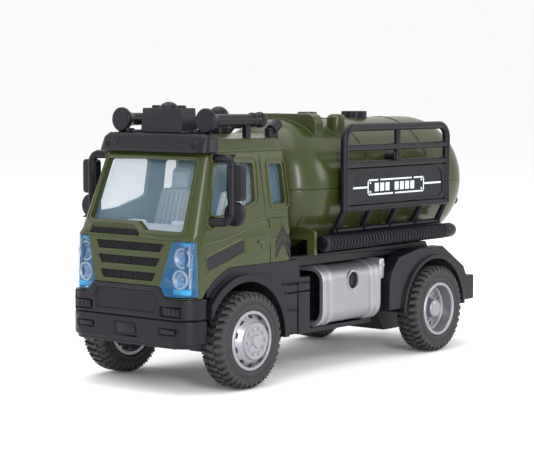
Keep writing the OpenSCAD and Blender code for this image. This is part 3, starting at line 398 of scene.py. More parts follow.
def prism(form, outline, push):
    """A solid between an outline of points and the same outline pushed along a vector."""
    low = [form.verts.new(p) for p in outline]
    high = [form.verts.new(p + push) for p in outline]
    form.faces.new(low[::-1])
    form.faces.new(high)
    for k in range(len(low)):
        j = (k + 1) % len(low)
        form.faces.new((low[k], low[j], high[j], high[k]))


def outward(form):
    """The form with its faces turned to look outwards."""
    bmesh.ops.recalc_face_normals(form, faces=form.faces)
    return form


def groove(points, radius=0.2, closed=False):
    """A thin round bar that cuts a line into a surface."""
    form = bmesh.new()
    sweep(form, points, radius * MM, sides=8, closed=closed)
    return cutter(outward(form))


# Rolled lips along the rear arches
arch_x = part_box("chassis_frame")[1].x - 0.35 * MM
arch_r = 16.9 * MM
rear_y = joint_at["rear_axle_spin"].y
lips = bmesh.new()
for hand in (1, -1):
    path = [Vector((hand * arch_x, rear_y + math.cos(a) * arch_r, axle_z + math.sin(a) * arch_r))
            for a in (math.radians(d) for d in range(2, 179, 6))]
    sweep(lips, path, 0.42 * MM)
add_piece("rear_arch_lips", finish_mesh("rear_arch_lips", outward(lips)), black)

# ---------------------------------------------------------------- base cover and drive
# The black cover screwed under the spine, and behind it the friction drive: two black case halves
# that hold the geared flywheel. The gears are natural moulded plastic, the shafts plain steel.

add_piece("base_cover_moulding", rounded("base_cover_moulding", "base_cover", 0.18), black,
          stands_for=["base_cover"])
natural = moulded("natural moulding", (0.72, 0.70, 0.62), (0.80, 0.78, 0.70), 0.42)
steel = moulded("bright steel", (0.50, 0.50, 0.50), (0.62, 0.62, 0.62), 0.28, grain_scale=4200.0,
                patch_scale=300.0, Metallic=1.0)


def dress(cad_node, material):
    for place in frame["nodes"][cad_node].material_slots:
        place.material = material


for side in ("left", "right"):
    add_piece(f"drive_case_{side}", rounded(f"drive_case_{side}", f"motor_case_{side}", 0.2), black,
              stands_for=[f"motor_case_{side}"])
for cad_node in ("axle_gear", "layshaft"):
    dress(cad_node, natural)
for cad_node in ("flywheel", "front_axle", "rear_axle", "base_screws", "tank_screws", "cab_screws"):
    dress(cad_node, steel)

# ---------------------------------------------------------------- tyres
# Hollow soft-vinyl tyres pressed over the rims: a rounded carcass with a bead ring, two rows of
# shoulder lugs and a zigzag centre row, all one moulding in satin black.

# Its edges take a strong share of painted highlight
tyre_black = moulded("tyre vinyl", (0.009, 0.009, 0.010), (0.015, 0.015, 0.017), 0.55, spread=0.08,
                     grain_scale=1800.0, grain_depth=0.02, highlight_share=0.7)

# Copies of one small shape, turned round the X axis through the origin
ring_tree = bpy.data.node_groups.new("ring of copies", "GeometryNodeTree")
socket(ring_tree, "Shape", "INPUT", "NodeSocketGeometry")
ring_count = socket(ring_tree, "Count", "INPUT", "NodeSocketInt", 12).identifier
ring_phase = socket(ring_tree, "Phase", "INPUT", "NodeSocketFloat", 0.0).identifier
ring_centre = socket(ring_tree, "Centre", "INPUT", "NodeSocketVector").identifier
ring_finish = socket(ring_tree, "Finish", "INPUT", "NodeSocketMaterial").identifier
socket(ring_tree, "Ring", "OUTPUT", "NodeSocketGeometry")
r_in, r_out = node(ring_tree, "NodeGroupInput"), node(ring_tree, "NodeGroupOutput")
r_line = node(ring_tree, "GeometryNodeMeshLine")
r_copies = node(ring_tree, "GeometryNodeInstanceOnPoints")
r_index = node(ring_tree, "GeometryNodeInputIndex")
r_step = node(ring_tree, "ShaderNodeMath", {0: 2 * math.pi}, operation="DIVIDE")
r_angle = node(ring_tree, "ShaderNodeMath", operation="MULTIPLY_ADD")
r_turn = node(ring_tree, "ShaderNodeCombineXYZ")
r_real = node(ring_tree, "GeometryNodeRealizeInstances")
r_place = node(ring_tree, "GeometryNodeTransform")
r_paint = node(ring_tree, "GeometryNodeSetMaterial")
ring_tree.links.new(r_in.outputs["Count"], r_line.inputs["Count"])
r_line.inputs["Offset"].default_value = (0, 0, 0)
ring_tree.links.new(r_line.outputs["Mesh"], r_copies.inputs["Points"])
ring_tree.links.new(r_in.outputs["Shape"], r_copies.inputs["Instance"])
ring_tree.links.new(r_in.outputs["Count"], r_step.inputs[1])
ring_tree.links.new(r_index.outputs["Index"], r_angle.inputs[0])
ring_tree.links.new(r_step.outputs["Value"], r_angle.inputs[1])
ring_tree.links.new(r_in.outputs["Phase"], r_angle.inputs[2])
ring_tree.links.new(r_angle.outputs["Value"], r_turn.inputs["X"])
ring_tree.links.new(r_turn.outputs["Vector"], r_copies.inputs["Rotation"])
ring_tree.links.new(r_copies.outputs["Instances"], r_place.inputs["Geometry"])
ring_tree.links.new(r_in.outputs["Centre"], r_place.inputs["Translation"])
ring_tree.links.new(r_place.outputs["Geometry"], r_real.inputs["Geometry"])
ring_tree.links.new(r_real.outputs["Geometry"], r_paint.inputs["Geometry"])
ring_tree.links.new(r_in.outputs["Finish"], r_paint.inputs["Material"])
ring_tree.links.new(r_paint.outputs["Geometry"], r_out.inputs["Ring"])


def copies(form, tree, inputs):
    """The mesh that a Geometry Nodes tree makes from one small form."""
    mesh = finish_mesh("seed", form)
    seed = bpy.data.objects.new("seed", mesh)
    bpy.context.scene.collection.objects.link(seed)
    repeat = seed.modifiers.new("repeat", "NODES")
    repeat.node_group = tree
    for identifier, value in inputs.items():
        repeat[identifier] = value
    seed.update_tag()
    shown = seed.evaluated_get(bpy.context.evaluated_depsgraph_get())
    made = bpy.data.meshes.new_from_object(shown)
    bpy.data.objects.remove(seed)
    return made


def ring_of(form, count, centre, material, phase=0.0):
    return copies(form, ring_tree, {ring_count: count, ring_phase: phase, ring_centre: tuple(centre),
                                    ring_finish: material})


def gathered(name, meshes, sharp=36):
    """Several meshes as one."""
    form = bmesh.new()
    for mesh in meshes:
        form.from_mesh(mesh)
    return finish_mesh(name, form, sharp)


# Copies of one small shape along a straight row
row_tree = bpy.data.node_groups.new("row of copies", "GeometryNodeTree")
socket(row_tree, "Shape", "INPUT", "NodeSocketGeometry")
row_count = socket(row_tree, "Count", "INPUT", "NodeSocketInt", 10).identifier
row_start = socket(row_tree, "Start", "INPUT", "NodeSocketVector").identifier
row_step = socket(row_tree, "Step", "INPUT", "NodeSocketVector").identifier
row_finish = socket(row_tree, "Finish", "INPUT", "NodeSocketMaterial").identifier
socket(row_tree, "Row", "OUTPUT", "NodeSocketGeometry")
w_in, w_out = node(row_tree, "NodeGroupInput"), node(row_tree, "NodeGroupOutput")
w_line = node(row_tree, "GeometryNodeMeshLine")
w_copies = node(row_tree, "GeometryNodeInstanceOnPoints")
w_real = node(row_tree, "GeometryNodeRealizeInstances")
w_paint = node(row_tree, "GeometryNodeSetMaterial")
row_tree.links.new(w_in.outputs["Count"], w_line.inputs["Count"])
row_tree.links.new(w_in.outputs["Start"], w_line.inputs["Start Location"])
row_tree.links.new(w_in.outputs["Step"], w_line.inputs["Offset"])
row_tree.links.new(w_line.outputs["Mesh"], w_copies.inputs["Points"])
row_tree.links.new(w_in.outputs["Shape"], w_copies.inputs["Instance"])
row_tree.links.new(w_copies.outputs["Instances"], w_real.inputs["Geometry"])
row_tree.links.new(w_real.outputs["Geometry"], w_paint.inputs["Geometry"])
row_tree.links.new(w_in.outputs["Finish"], w_paint.inputs["Material"])
row_tree.links.new(w_paint.outputs["Geometry"], w_out.inputs["Row"])


def row_of(form, count, start, step, material):
    return copies(form, row_tree, {row_count: count, row_start: tuple(start), row_step: tuple(step),
                                   row_finish: material})


LUGS = 38


def lug(points, top_r, foot_r):
    """A tread block over (x, across) points, in mm, standing between two radii."""
    form = bmesh.new()
    low = [form.verts.new((x * MM, y * 1.04 * MM, foot_r * MM)) for x, y, r in points]
    high = [form.verts.new((x * MM, y * MM, math.sqrt((top_r - r) ** 2 - y * y) * MM)) for x, y, r in points]
    form.faces.new(low[::-1])
    form.faces.new(high)
    for k in range(len(low)):
        j = (k + 1) % len(low)
        form.faces.new((low[k], low[j], high[j], high[k]))
    return outward(form)


for axle, body in (("front", "front_wheelset"), ("rear", "rear_wheelset")):
    for side in ("left", "right"):
        low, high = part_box(f"{axle}_tyre_{side}")
        hub = (low + high) / 2
        hand = 1 if side == "left" else -1
        half = (high.x - low.x) / 2 / MM
        outer = (high.z - low.z) / 2 / MM
        bead = outer - 5.2
        h = half * hand
        carcass = bmesh.new()
        wall = [(1.0, bead + 1.1), (0.985, bead + 1.5), (0.93, bead + 1.75), (0.93, bead + 2.1),
                (0.98, bead + 2.3), (0.99, outer - 2.3), (0.95, outer - 1.5), (0.86, outer - 0.95),
                (0.6, outer - 0.72), (0.3, outer - 0.68)]
        lip = [(0.90, bead + 0.02), (0.97, bead + 0.35)]
        right_half = lip + wall
        profile = [(-a * h, r) for a, r in right_half] + [(a * h, r) for a, r in right_half[::-1]]
        profile.append(profile[0])
        spun(carcass, profile, hub, steps=96)
        bmesh.ops.remove_doubles(carcass, verts=carcass.verts, dist=1e-7)
        meshes = [finish_mesh("carcass", outward(carcass), 50)]
        for way, phase in ((1, 0.0), (-1, 0.5)):
            x = half * way
            shoulder = lug([(x * 0.36, -0.95, 0.04), (x * 0.36, -0.05, 0.04), (x * 0.86, 0.62, 0.1),
                            (x * 0.985, 0.62, 1.25), (x * 0.985, -0.72, 1.25), (x * 0.86, -0.72, 0.1)][::way],
                           outer, outer - 1.9)
            meshes.append(ring_of(shoulder, LUGS, hub, tyre_black, phase * 2 * math.pi / LUGS))
        for way in (1, -1):
            x = half * 0.3 * way
            centre_lug = lug([(0.0, -0.3, 0.04), (0.0, 0.75, 0.04), (x, 1.3, 0.04), (x, 0.2, 0.04)][::way],
                             outer, outer - 1.2)
            meshes.append(ring_of(centre_lug, LUGS, hub, tyre_black))
        add_piece(f"tyre_{axle}_{side}", gathered(f"tyre_{axle}_{side}", meshes), tyre_black,
                  body, [f"{axle}_tyre_{side}"])

# ---------------------------------------------------------------- rims
# Moulded rims with a vacuum-metallised or sprayed silver finish, pushed onto the steel axles.
# The front ones are a cone of windows round a nut ring, the rear ones a deep dish with a hub.

# Its near-white edge colour is a painted highlight on the coating's outside edges
silver = moulded("silver coating", (0.28, 0.28, 0.31), (0.34, 0.34, 0.37), 0.36, spread=0.05,
                 edge=(0.85, 0.86, 0.88), grain_scale=5200.0, grain_depth=0.004, Metallic=0.75)
for axle, body in (("front", "front_wheelset"), ("rear", "rear_wheelset")):
    for side in ("left", "right"):
        add_piece(f"rim_{axle}_{side}", rounded(f"rim_{axle}_{side}", f"{axle}_rim_{side}", 0.12), silver,
                  body, [f"{axle}_rim_{side}"])

# ---------------------------------------------------------------- side fuel tanks
# Silver-coated half shells with double straps at both ends and a round filler recess with a raised
# rim. A black panel closes the open front end, and a small bracket reaches up to the deck.

for side in ("left", "right"):
    hand = 1 if side == "left" else -1
    low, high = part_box(f"fuel_tank_{side}")
    face_x = high.x if hand > 0 else low.x
    add_piece(f"fuel_shell_{side}", rounded(f"fuel_shell_{side}", f"fuel_tank_{side}", 0.3, steps=3), silver,
              stands_for=[f"fuel_tank_{side}"])
    add_piece(f"fuel_strut_{side}", rounded(f"fuel_strut_{side}", f"fuel_bracket_{side}", 0.7, steps=3),
              silver, stands_for=[f"fuel_bracket_{side}"])
    filler = Vector((face_x, low.y + 15.8 * MM, low.z + 13.5 * MM))
    rim = bmesh.new()
    rim_r = 2.9 * MM
    sweep(rim, [filler + Vector((-hand * 0.5 * MM, math.cos(a) * rim_r, math.sin(a) * rim_r))
                for a in turns(40)], 0.34 * MM, sides=8, closed=True)
    strut_low, strut_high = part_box(f"fuel_bracket_{side}")
    for share in (0.3, 0.72):
        stud = Vector((face_x - hand * 2.2 * MM, strut_low.y * (1 - share) + strut_high.y * share,
                       strut_high.z - 2.2 * MM))
        spun(rim, [(0, 0.01), (0, 0.55), (hand * 1.95, 0.5), (hand * 2.1, 0.3), (hand * 2.15, 0.01)],
             stud, steps=20)
    add_piece(f"fuel_filler_rim_{side}", finish_mesh("rim", outward(rim)), silver)
    inside = bmesh.new()
    spun(inside, [(-hand * 1.9, 0.01), (-hand * 1.9, 2.6), (-hand * 1.2, 2.6), (-hand * 1.05, 2.3),
                  (-hand * 1.05, 0.01)], filler, steps=40)
    y = low.y + 3.6 * MM
    soft_block(inside, (face_x - hand * 9.4 * MM, y, low.z + 1.8 * MM),
               (face_x - hand * 1.75 * MM, y + 0.6 * MM, high.z - 1.8 * MM), 0.28)
    for share in (0.3, 0.55, 0.8):
        z = low.z * (1 - share) + high.z * share
        soft_block(inside, (face_x - hand * 7.8 * MM, y - 0.5 * MM, z - 1.2 * MM),
                   (face_x - hand * 2.8 * MM, y + 0.1 * MM, z + 0.4 * MM), 0.2)
    add_piece(f"fuel_panel_{side}", finish_mesh("panel", outward(inside)), black)

# ---------------------------------------------------------------- cab interior
# Pale grey moulding with the dash and two seats, and a steering wheel pushed into it. The seats have
# padded bolsters and upright ribs, the dash a small hood, all part of the same moulding.

pale_grey = moulded("grey interior", (0.44, 0.47, 0.53), (0.54, 0.57, 0.62), 0.42)
add_piece("interior_moulding", rounded("interior_moulding", "cab_interior", 0.6, steps=3), pale_grey,
          stands_for=["cab_interior"])
floor_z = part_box("cab_interior")[0].z / MM
wheel_x = sum(v.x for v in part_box("steering_wheel")) / 2 / MM
padding = []
for x in (wheel_x, -wheel_x):
    pads = bmesh.new()
    for edge in (-5.7, 5.7):
        sweep(pads, bent([at(x + edge, -1.2, floor_z + 6.4), at(x + edge, 8.0, floor_z + 7.0),
                          at(x + edge * 0.94, 12.3, floor_z + 19.8)], 3), 1.15 * MM, sides=12)
    soft_block(pads, at(x - 3.2, 12.6, floor_z + 21), at(x + 3.2, 14.4, floor_z + 26), 0.8, 3)
    padding.append(finish_mesh("pads", outward(pads)))
    rib = bmesh.new()
    sweep(rib, [at(0, 8.7, floor_z + 8.2), at(0, 9.7, floor_z + 12), at(0, 11.9, floor_z + 19.2)], 0.62 * MM)
    padding.append(row_of(outward(rib), 5, (x * MM - 0.0036, 0, 0), (0.0018, 0, 0), pale_grey))
dash = bmesh.new()
soft_block(dash, at(-8, -14.6, floor_z + 10.2), at(-2.6, -11.4, floor_z + 12.9), 0.5)
soft_block(dash, at(wheel_x - 3.8, -13.2, floor_z + 10.6), at(wheel_x + 3.8, -10.2, floor_z + 13.2), 0.8, 3)
padding.append(finish_mesh("dash", outward(dash)))
add_piece("seat_padding", gathered("seat_padding", padding), pale_grey)
dress("steering_wheel", pale_grey)

# ---------------------------------------------------------------- cab skirt and front bumper
# Two black mouldings that carry the cab. The skirt has a rolled lip on each arch, panel lines and
# rivet heads; the bumper has a sunken middle panel and a lamp block in each square recess.

skirt_x = 23.65       # its side face
skirt_arch_r = 17.75
lines = []
for hand in (1, -1):
    x = hand * skirt_x
    lines += [groove([at(x, 18.6, 28.4), at(x, 32.5, 27.9)], 0.16),
              groove([at(x, 21.8, 20.2), at(x, 26, 20)], 0.16),
              groove([at(x, 26.2, 12), at(x, 26.2, 27.9)], 0.16)]
add_piece("skirt_moulding", rounded("skirt_moulding", "cab_skirt", 0.25, lines), black,
          stands_for=["cab_skirt"])
skirt_trim = []
for hand in (1, -1):
    lip = bmesh.new()
    sweep(lip, [at(hand * 25.2, 0.6 + math.cos(a) * skirt_arch_r, 13.5 + math.sin(a) * skirt_arch_r)
                for a in (math.radians(d) for d in range(0, 151, 5))], 0.4 * MM)
    skirt_trim.append(finish_mesh("lip", outward(lip)))
    rivet = bmesh.new()
    spun(rivet, [(0, 0.01), (0, 0.55), (hand * 0.22, 0.5), (hand * 0.36, 0.3), (hand * 0.42, 0.01)],
         Vector((0, 0, 0)), steps=16)
    skirt_trim.append(row_of(outward(rivet), 3, at(hand * (skirt_x - 0.04), 20.4, 25.6),
                             Vector((0, 0.6, -5.7)) * MM, black))
add_piece("skirt_trim", gathered("skirt_trim", skirt_trim), black)

bumper_y = -23.6      # its front face
panel_depth = 0.45
panel = [(-11.6, 23.1), (11.6, 23.1), (12.3, 26.6), (10.8, 29.0), (-10.8, 29.0), (-12.3, 26.6)]
panel_cut = bmesh.new()
prism(panel_cut, [at(x, bumper_y - 1, z) for x, z in panel], Vector((0, (panel_depth + 1) * MM, 0)))
cuts = [cutter(outward(panel_cut))]
add_piece("bumper_moulding", rounded("bumper_moulding", "front_bumper", 0.35, cuts, steps=3), black,
          stands_for=["front_bumper"])
trim = bmesh.new()
for hand in (1, -1):
    soft_block(trim, at(hand * 14.4, -23.25, 22.6), at(hand * 20.2, -22.6, 24.6), 0.22)
    for x in (15.6, 17.2, 18.8):
        soft_block(trim, at(hand * (x - 0.22), -23.4, 22.8), at(hand * (x + 0.22), -23.1, 24.4), 0.08)
    soft_block(trim, at(hand * 13.4, -23.35, 17.3), at(hand * 18.8, -22.8, 18.5), 0.2)
soft_block(trim, at(-3.6, -23.35, 16.5), at(3.6, -23.0, 18.9), 0.15)
add_piece("bumper_trim", finish_mesh("bumper_trim", outward(trim)), black)

# ---------------------------------------------------------------- glazing and headlamps
# Clear blue mouldings: one liner behind all the windows, and two wrap-round lenses. Behind each lens
# stand two silver reflector bowls, a black divider, and a bright clear foot of the same blue.


def clear(name, colour, alpha, roughness):
    """A clear moulding of one tint."""
    # The lighter edge colour is a painted highlight on outside edges
    made = moulded(name, colour, colour, roughness, spread=0.01, grain_depth=0.001,
                   edge=[min(1, c * 1.3 + 0.05) for c in colour])
    made.node_tree.nodes["Principled BSDF"].inputs["Alpha"].default_value = alpha
    return made


window_blue = clear("window tint", (0.20, 0.34, 0.45), 0.15, 0.04)
lamp_blue = clear("lamp tint", (0.05, 0.24, 0.52), 0.22, 0.05)
foot_blue = clear("lamp foot", (0.03, 0.42, 0.75), 0.80, 0.10)
dress("cab_glazing", window_blue)
for side in ("left", "right"):
    hand = 1 if side == "left" else -1
    add_piece(f"lamp_lens_{side}", rounded(f"lamp_lens_{side}", f"headlamp_{side}", 0.4, steps=3), lamp_blue,
              stands_for=[f"headlamp_{side}"])
    bowls = bmesh.new()
    for x, y, z, r in ((18.9, -18.8, 38.6, 2.7), (18.6, -19.4, 32.6, 2.5)):
        spun(bowls, [(0, 0.01), (0, r), (-1.3, r + 0.35), (-1.6, r + 0.2), (-1.5, r - 0.2), (-0.7, r * 0.72),
                     (-0.4, r * 0.34), (-0.9, 0.5), (-1.1, 0.01)], at(hand * x, y, z), steps=36, axis="Y")
    soft_block(bowls, at(hand * 14.4, -18.9, 29.4), at(hand * 21.3, -18.2, 42.2), 0.3)
    soft_block(bowls, at(hand * 21.0, -20.0, 30.0), at(hand * 21.5, -18.4, 42.0), 0.2)
    add_piece(f"lamp_reflector_{side}", finish_mesh("bowls", outward(bowls)), silver)
    divider = bmesh.new()
    soft_block(divider, at(hand * 20.0, -20.5, 30.2), at(hand * 20.8, -18.6, 41.8), 0.15)
    soft_block(divider, at(hand * 15.6, -20.0, 35.4), at(hand * 20.4, -18.7, 35.8), 0.1)
    add_piece(f"lamp_divider_{side}", finish_mesh("divider", outward(divider)), black)
    foot = bmesh.new()
    soft_block(foot, at(hand * 15.8, -20.9, 28.2), at(hand * 21.6, -18.9, 29.9), 0.4, 3)
    soft_block(foot, at(hand * 17.0, -19.3, 42.0), at(hand * 21.2, -18.4, 42.9), 0.3)
    add_piece(f"lamp_foot_{side}", finish_mesh("foot", outward(foot)), foot_blue)

# ---------------------------------------------------------------- cab shell
# The olive body, one thin moulding snapped over the skirt: seams and panel lines are cut into it,
# the window frames, gutter, door crease, handles and mirror bosses stand proud of it.

# Its lighter, yellower edge colour is a painted highlight on outside edges
olive = moulded("olive moulding", (0.028, 0.037, 0.0085), (0.034, 0.044, 0.011), 0.27, spread=0.04,
                edge=(0.09, 0.11, 0.04), grain_depth=0.004, Specular_IOR_Level=0.30, Coat_Weight=0.08,
                Coat_Roughness=0.1)


def along(value, table):
    """Reads a table of (value, result) pairs, with straight lines between them."""
    for (a, p), (b, q) in zip(table, table[1:]):
        if value <= b:
            return p + (q - p) * (value - a) / (b - a)
    return table[-1][1]


# The cab's side and nose by height: (z, x) of the side face, (z, y) of the front
SIDE = [(27.3, 23.7), (43.6, 23.7), (45.2, 23.5), (66.6, 20.7), (68.2, 20.4), (71.6, 17.5), (72.6, 11.7)]
NOSE = [(27.3, -23.2), (43.6, -21.6), (45.2, -20.3), (66.6, -12.3), (68.2, -11.4), (71.6, -7.7)]


def on_side(hand, y, z, lift=0.0):
    """A point on the cab's side, stood off by lift."""
    return at(hand * (along(z, SIDE) + lift), y, z)


def on_nose(x, z, lift=0.0):
    """A point on the cab's front, which rounds off at the corner posts."""
    r = along(z, [(45.2, 5.5), (66.6, 4.6)]) if z > 45.2 else 5.5
    over = max(0.0, abs(x) - (along(z, SIDE) - r))
    return at(x, along(z, NOSE) + r - math.sqrt(max(0.0, r * r - over * over)) - lift, z)


def widened(outline, by):
    """The outline with every side moved outwards."""
    area = sum(a[0] * b[1] - b[0] * a[1] for a, b in zip(outline, outline[1:] + outline[:1]))
    sign = 1 if area > 0 else -1
    made = []
    for i, p in enumerate(outline):
        a, b = Vector(outline[i - 1]), Vector(outline[(i + 1) % len(outline)])
        p = Vector(p)
        n1 = Vector(((p - a).y, -(p - a).x)).normalized() * sign
        n2 = Vector(((b - p).y, -(b - p).x)).normalized() * sign
        made.append(tuple(p + (n1 + n2) * by / (1 + n1.dot(n2))))
    return made


def rim_bar(form, outline, place, corner, thick):
    """A thin bar round an outline, laid on a surface that place() finds."""
    flat = bent([Vector((u, v, 0)) * MM for u, v in outline], corner, closed=True, steps=6)
    fine = []
    for p, q in zip(flat, flat[1:] + flat[:1]):
        parts = max(1, int((q - p).length / (3 * MM)))
        fine += [p + (q - p) * k / parts for k in range(parts)]
    sweep(form, [place(p.x / MM, p.y / MM) for p in fine], thick * MM, sides=8, closed=True)


DOOR_WINDOW = [(-12.6, 49.8), (-4, 50.4), (4.6, 52.7), (7.7, 53.7), (8.2, 64.6), (-8, 65.2)]
REAR_WINDOW = [(15.2, 52.3), (21.7, 52.3), (21.2, 64.0), (15.2, 64.0)]
WINDSCREEN = [(-18.6, 48.2), (1, 48.2), (4.4, 45.9), (18.6, 45.9), (17.3, 65.7), (-17.3, 65.7)]
DOOR_PLATE = [(-15.2, 38.5), (0.9, 42.7), (1.3, 39.3), (-14.8, 34.8)]
cuts = []
for hand in (1, -1):
    seam = [(11.3, 67.2), (11.9, 48.4), (13.0, 47.4), (13.0, 35.0)]
    cuts.append(groove([on_side(hand, y, z) for y, z in seam], 0.2))
    for z in (48.3, 42.8):
        cuts.append(groove([on_side(hand, 13.2, z), on_side(hand, 26.2, z)], 0.14))
    plate_cut = bmesh.new()
    corners = bent([at(hand * 23.4, y, z) for y, z in DOOR_PLATE], 0.9, closed=True)
    prism(plate_cut, corners, Vector((hand * 1.5 * MM, 0, 0)))
    cuts.append(cutter(outward(plate_cut)))
add_piece("cab_moulding", rounded("cab_moulding", "cab_shell", 0.14, cuts), olive,
          stands_for=["cab_shell"])

trim = bmesh.new()
rim_bar(trim, widened(WINDSCREEN, 0.9), lambda x, z: on_nose(x, z, 0.02), 1.6, 0.3)
for hand in (1, -1):
    for outline in (DOOR_WINDOW, REAR_WINDOW):
        rim_bar(trim, widened(outline, 1.35), lambda y, z: on_side(hand, y, z, -0.02), 2.2, 0.28)
    sweep(trim, [on_side(hand, y, 68.3, 0.02) for y in (-7.6, 0, 8, 16, 24.6)], 0.32 * MM)
    sweep(trim, [on_side(hand, y, z, -0.04) for y, z in ((-17.2, 42.5), (-12, 42.9), (-6, 43.7), (0, 45.0),
                                                        (5, 46.4), (11.2, 47.6))], 0.24 * MM)
    for y, z, r in ((-8.1, 66.3, 1.75), (-12.6, 48.6, 1.9)):
        sweep(trim, [on_side(hand, y + math.cos(a) * r, z + math.sin(a) * r, 0.02) for a in turns(28)],
              0.4 * MM, sides=8, closed=True)
    sweep(trim, bent([on_side(hand, y, z) for y, z in widened(DOOR_PLATE, 0.75)], 1.5, closed=True),
          0.2 * MM, sides=8, closed=True)
# The handles come last: when they came first, the next bar's faces were in a different order each run
for hand in (1, -1):
    soft_block(trim, at(hand * 23.6, 7.3, 41.2), at(hand * 24.15, 9.9, 42.2), 0.2)
    soft_block(trim, at(hand * 23.6, 8.9, 39.8), at(hand * 24.0, 9.9, 41.4), 0.2)
add_piece("cab_raised_lines", finish_mesh("cab_raised_lines", outward(trim)), olive)

# The door's sunken plate, and two chevrons behind the door, each of two arms cut into short slices
# so that they follow the side
marks = bmesh.new()
chevron_y, arm_w, slices = 18.85, 2.2, 12
for hand in (1, -1):
    prism(marks, bent([at(hand * 23.42, y, z) for y, z in widened(DOOR_PLATE, -0.12)], 0.8, closed=True),
          Vector((hand * 0.12 * MM, 0, 0)))
    for drop in (0, 3.1):
        for tip in (15.4, 22.3):
            steps = [k / slices for k in range(slices + 1)]
            lower = [(tip + (chevron_y - tip) * t, 39.1 + 4.6 * t - drop) for t in steps]
            edges = [[marks.verts.new(on_side(hand, y, z + rise, lift)) for y, z in lower]
                     for rise, lift in ((0, 0.06), (arm_w, 0.06), (arm_w, -0.2), (0, -0.2))]
            for a, b in zip(edges, edges[1:] + edges[:1]):
                for k in range(slices):
                    marks.faces.new((a[k], a[k + 1], b[k + 1], b[k]))
            for k in (0, slices):
                marks.faces.new([row[k] for row in edges])
add_piece("door_plates_and_chevrons", finish_mesh("marks", outward(marks)), black)

# Upright ribs behind the grille's slots
add_piece("grille_plate", rounded("grille_plate", "grille_insert", 0.1), black,
          stands_for=["grille_insert"])
ribs = []
rib_half, rib_deep, rib_pitch, rib_in = 0.13, 0.5, 0.62, 0.45
for z, tall, left, right in ((31.8, 2.3, -10, 10), (36.0, 2.3, -11.2, 11.2), (40.1, 2.3, -12.4, 12.4),
                             (44.2, 2.5, -16.4, 1.6)):
    bar = bmesh.new()
    foot, head = z + 0.15, z + tall - 0.15
    low_y, high_y = along(foot, NOSE) + rib_in, along(head, NOSE) + rib_in
    prism(bar, [at(-rib_half, low_y, foot), at(-rib_half, low_y + rib_deep, foot),
                at(-rib_half, high_y + rib_deep, head), at(-rib_half, high_y, head)],
          Vector((2 * rib_half * MM, 0, 0)))
    count = int((right - left) / rib_pitch)
    step = (right - left) / (count - 1) * MM
    ribs.append(row_of(outward(bar), count, (left * MM, 0, 0), (step, 0, 0), black))
add_piece("grille_ribs", gathered("grille_ribs", ribs), black)

# ---------------------------------------------------------------- roof fittings and mirrors
# Black mouldings pushed into the roof and doors: visor with a raised border and two screw heads,
# lamp box with its dome, horns, beacon, spotlights, and the bent-bar mirror arms.

for name, cad_node, radius in (("visor_moulding", "roof_visor", 0.3), ("lamp_box", "roof_lamp_box", 0.3),
                               ("horn_left", "air_horn_left", 0.15), ("horn_right", "air_horn_right", 0.15),
                               ("beacon_moulding", "roof_beacon", 0.2),
                               ("spotlights", "roof_spotlights", 0.2),
                               ("mirror_moulding_left", "mirror_left", 0.08),
                               ("mirror_moulding_right", "mirror_right", 0.08)):
    add_piece(name, rounded(name, cad_node, radius, steps=3), black, stands_for=[cad_node])
dress("roof_lamp_dome", black)
visor_trim = bmesh.new()


def on_visor(x, z):
    """A point on the visor's sloping front."""
    return at(x, -13.8 + (z - 67.9) * 0.425, z)


sweep(visor_trim, bent([on_visor(-13.4, 72.0), on_visor(-13.4, 69.3), on_visor(12.6, 69.3)], 1.6), 0.2 * MM)
for x in (-17.2, 16.6):
    for r in (0.95, 0.45):
        sweep(visor_trim, [on_visor(x + math.cos(a) * r, 69.9 + math.sin(a) * r) for a in turns(24)],
              0.16 * MM, sides=8, closed=True)
for hand in (1, -1):
    soft_block(visor_trim, at(hand * 8.0, -8.6, 73.1), at(hand * 11.6, -5.6, 74.0), 0.3)
    soft_block(visor_trim, at(hand * 12.6, -8.2, 73.1), at(hand * 14.2, -6.0, 74.4), 0.3)
add_piece("visor_trim", finish_mesh("visor_trim", outward(visor_trim)), black)

# ---------------------------------------------------------------- tank
# Two olive half shells that meet at the middle, with a raised rib, two posts and a hatch on the
# crown, two shallow rings cut round the upper shell, and a notched black cap.

tank_r = 21.2
axis_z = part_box("tank_upper_half")[0].z / MM
rings = []
for y in (66.5, 99.5):
    rings.append(groove([at(math.cos(a) * tank_r, y, axis_z + math.sin(a) * tank_r) for a in turns(96)],
                        0.2, closed=True))
add_piece("tank_top", rounded("tank_top", "tank_upper_half", 0.3, rings, steps=3), olive,
          stands_for=["tank_upper_half"])
for name, cad_node, radius in (("tank_bottom", "tank_lower_half", 0.2),
                               ("manhole_lid", "manhole_cover", 0.25)):
    add_piece(name, rounded(name, cad_node, radius, steps=3), olive, stands_for=[cad_node])
for name, cad_node, radius in (("cap_moulding", "filler_cap", 0.2), ("valve_knobs", "rear_valves", 0.15),
                               ("rear_bumper_moulding", "rear_bumper", 0.4)):
    add_piece(name, rounded(name, cad_node, radius), black, stands_for=[cad_node])

# ---------------------------------------------------------------- racks, signs and hoses
# Black frames of round bar, each with a board that has a sunken panel and a white printed frame
# round plain blocks, and below it a ribbed hose with a ring at the front and a collar at the rear.

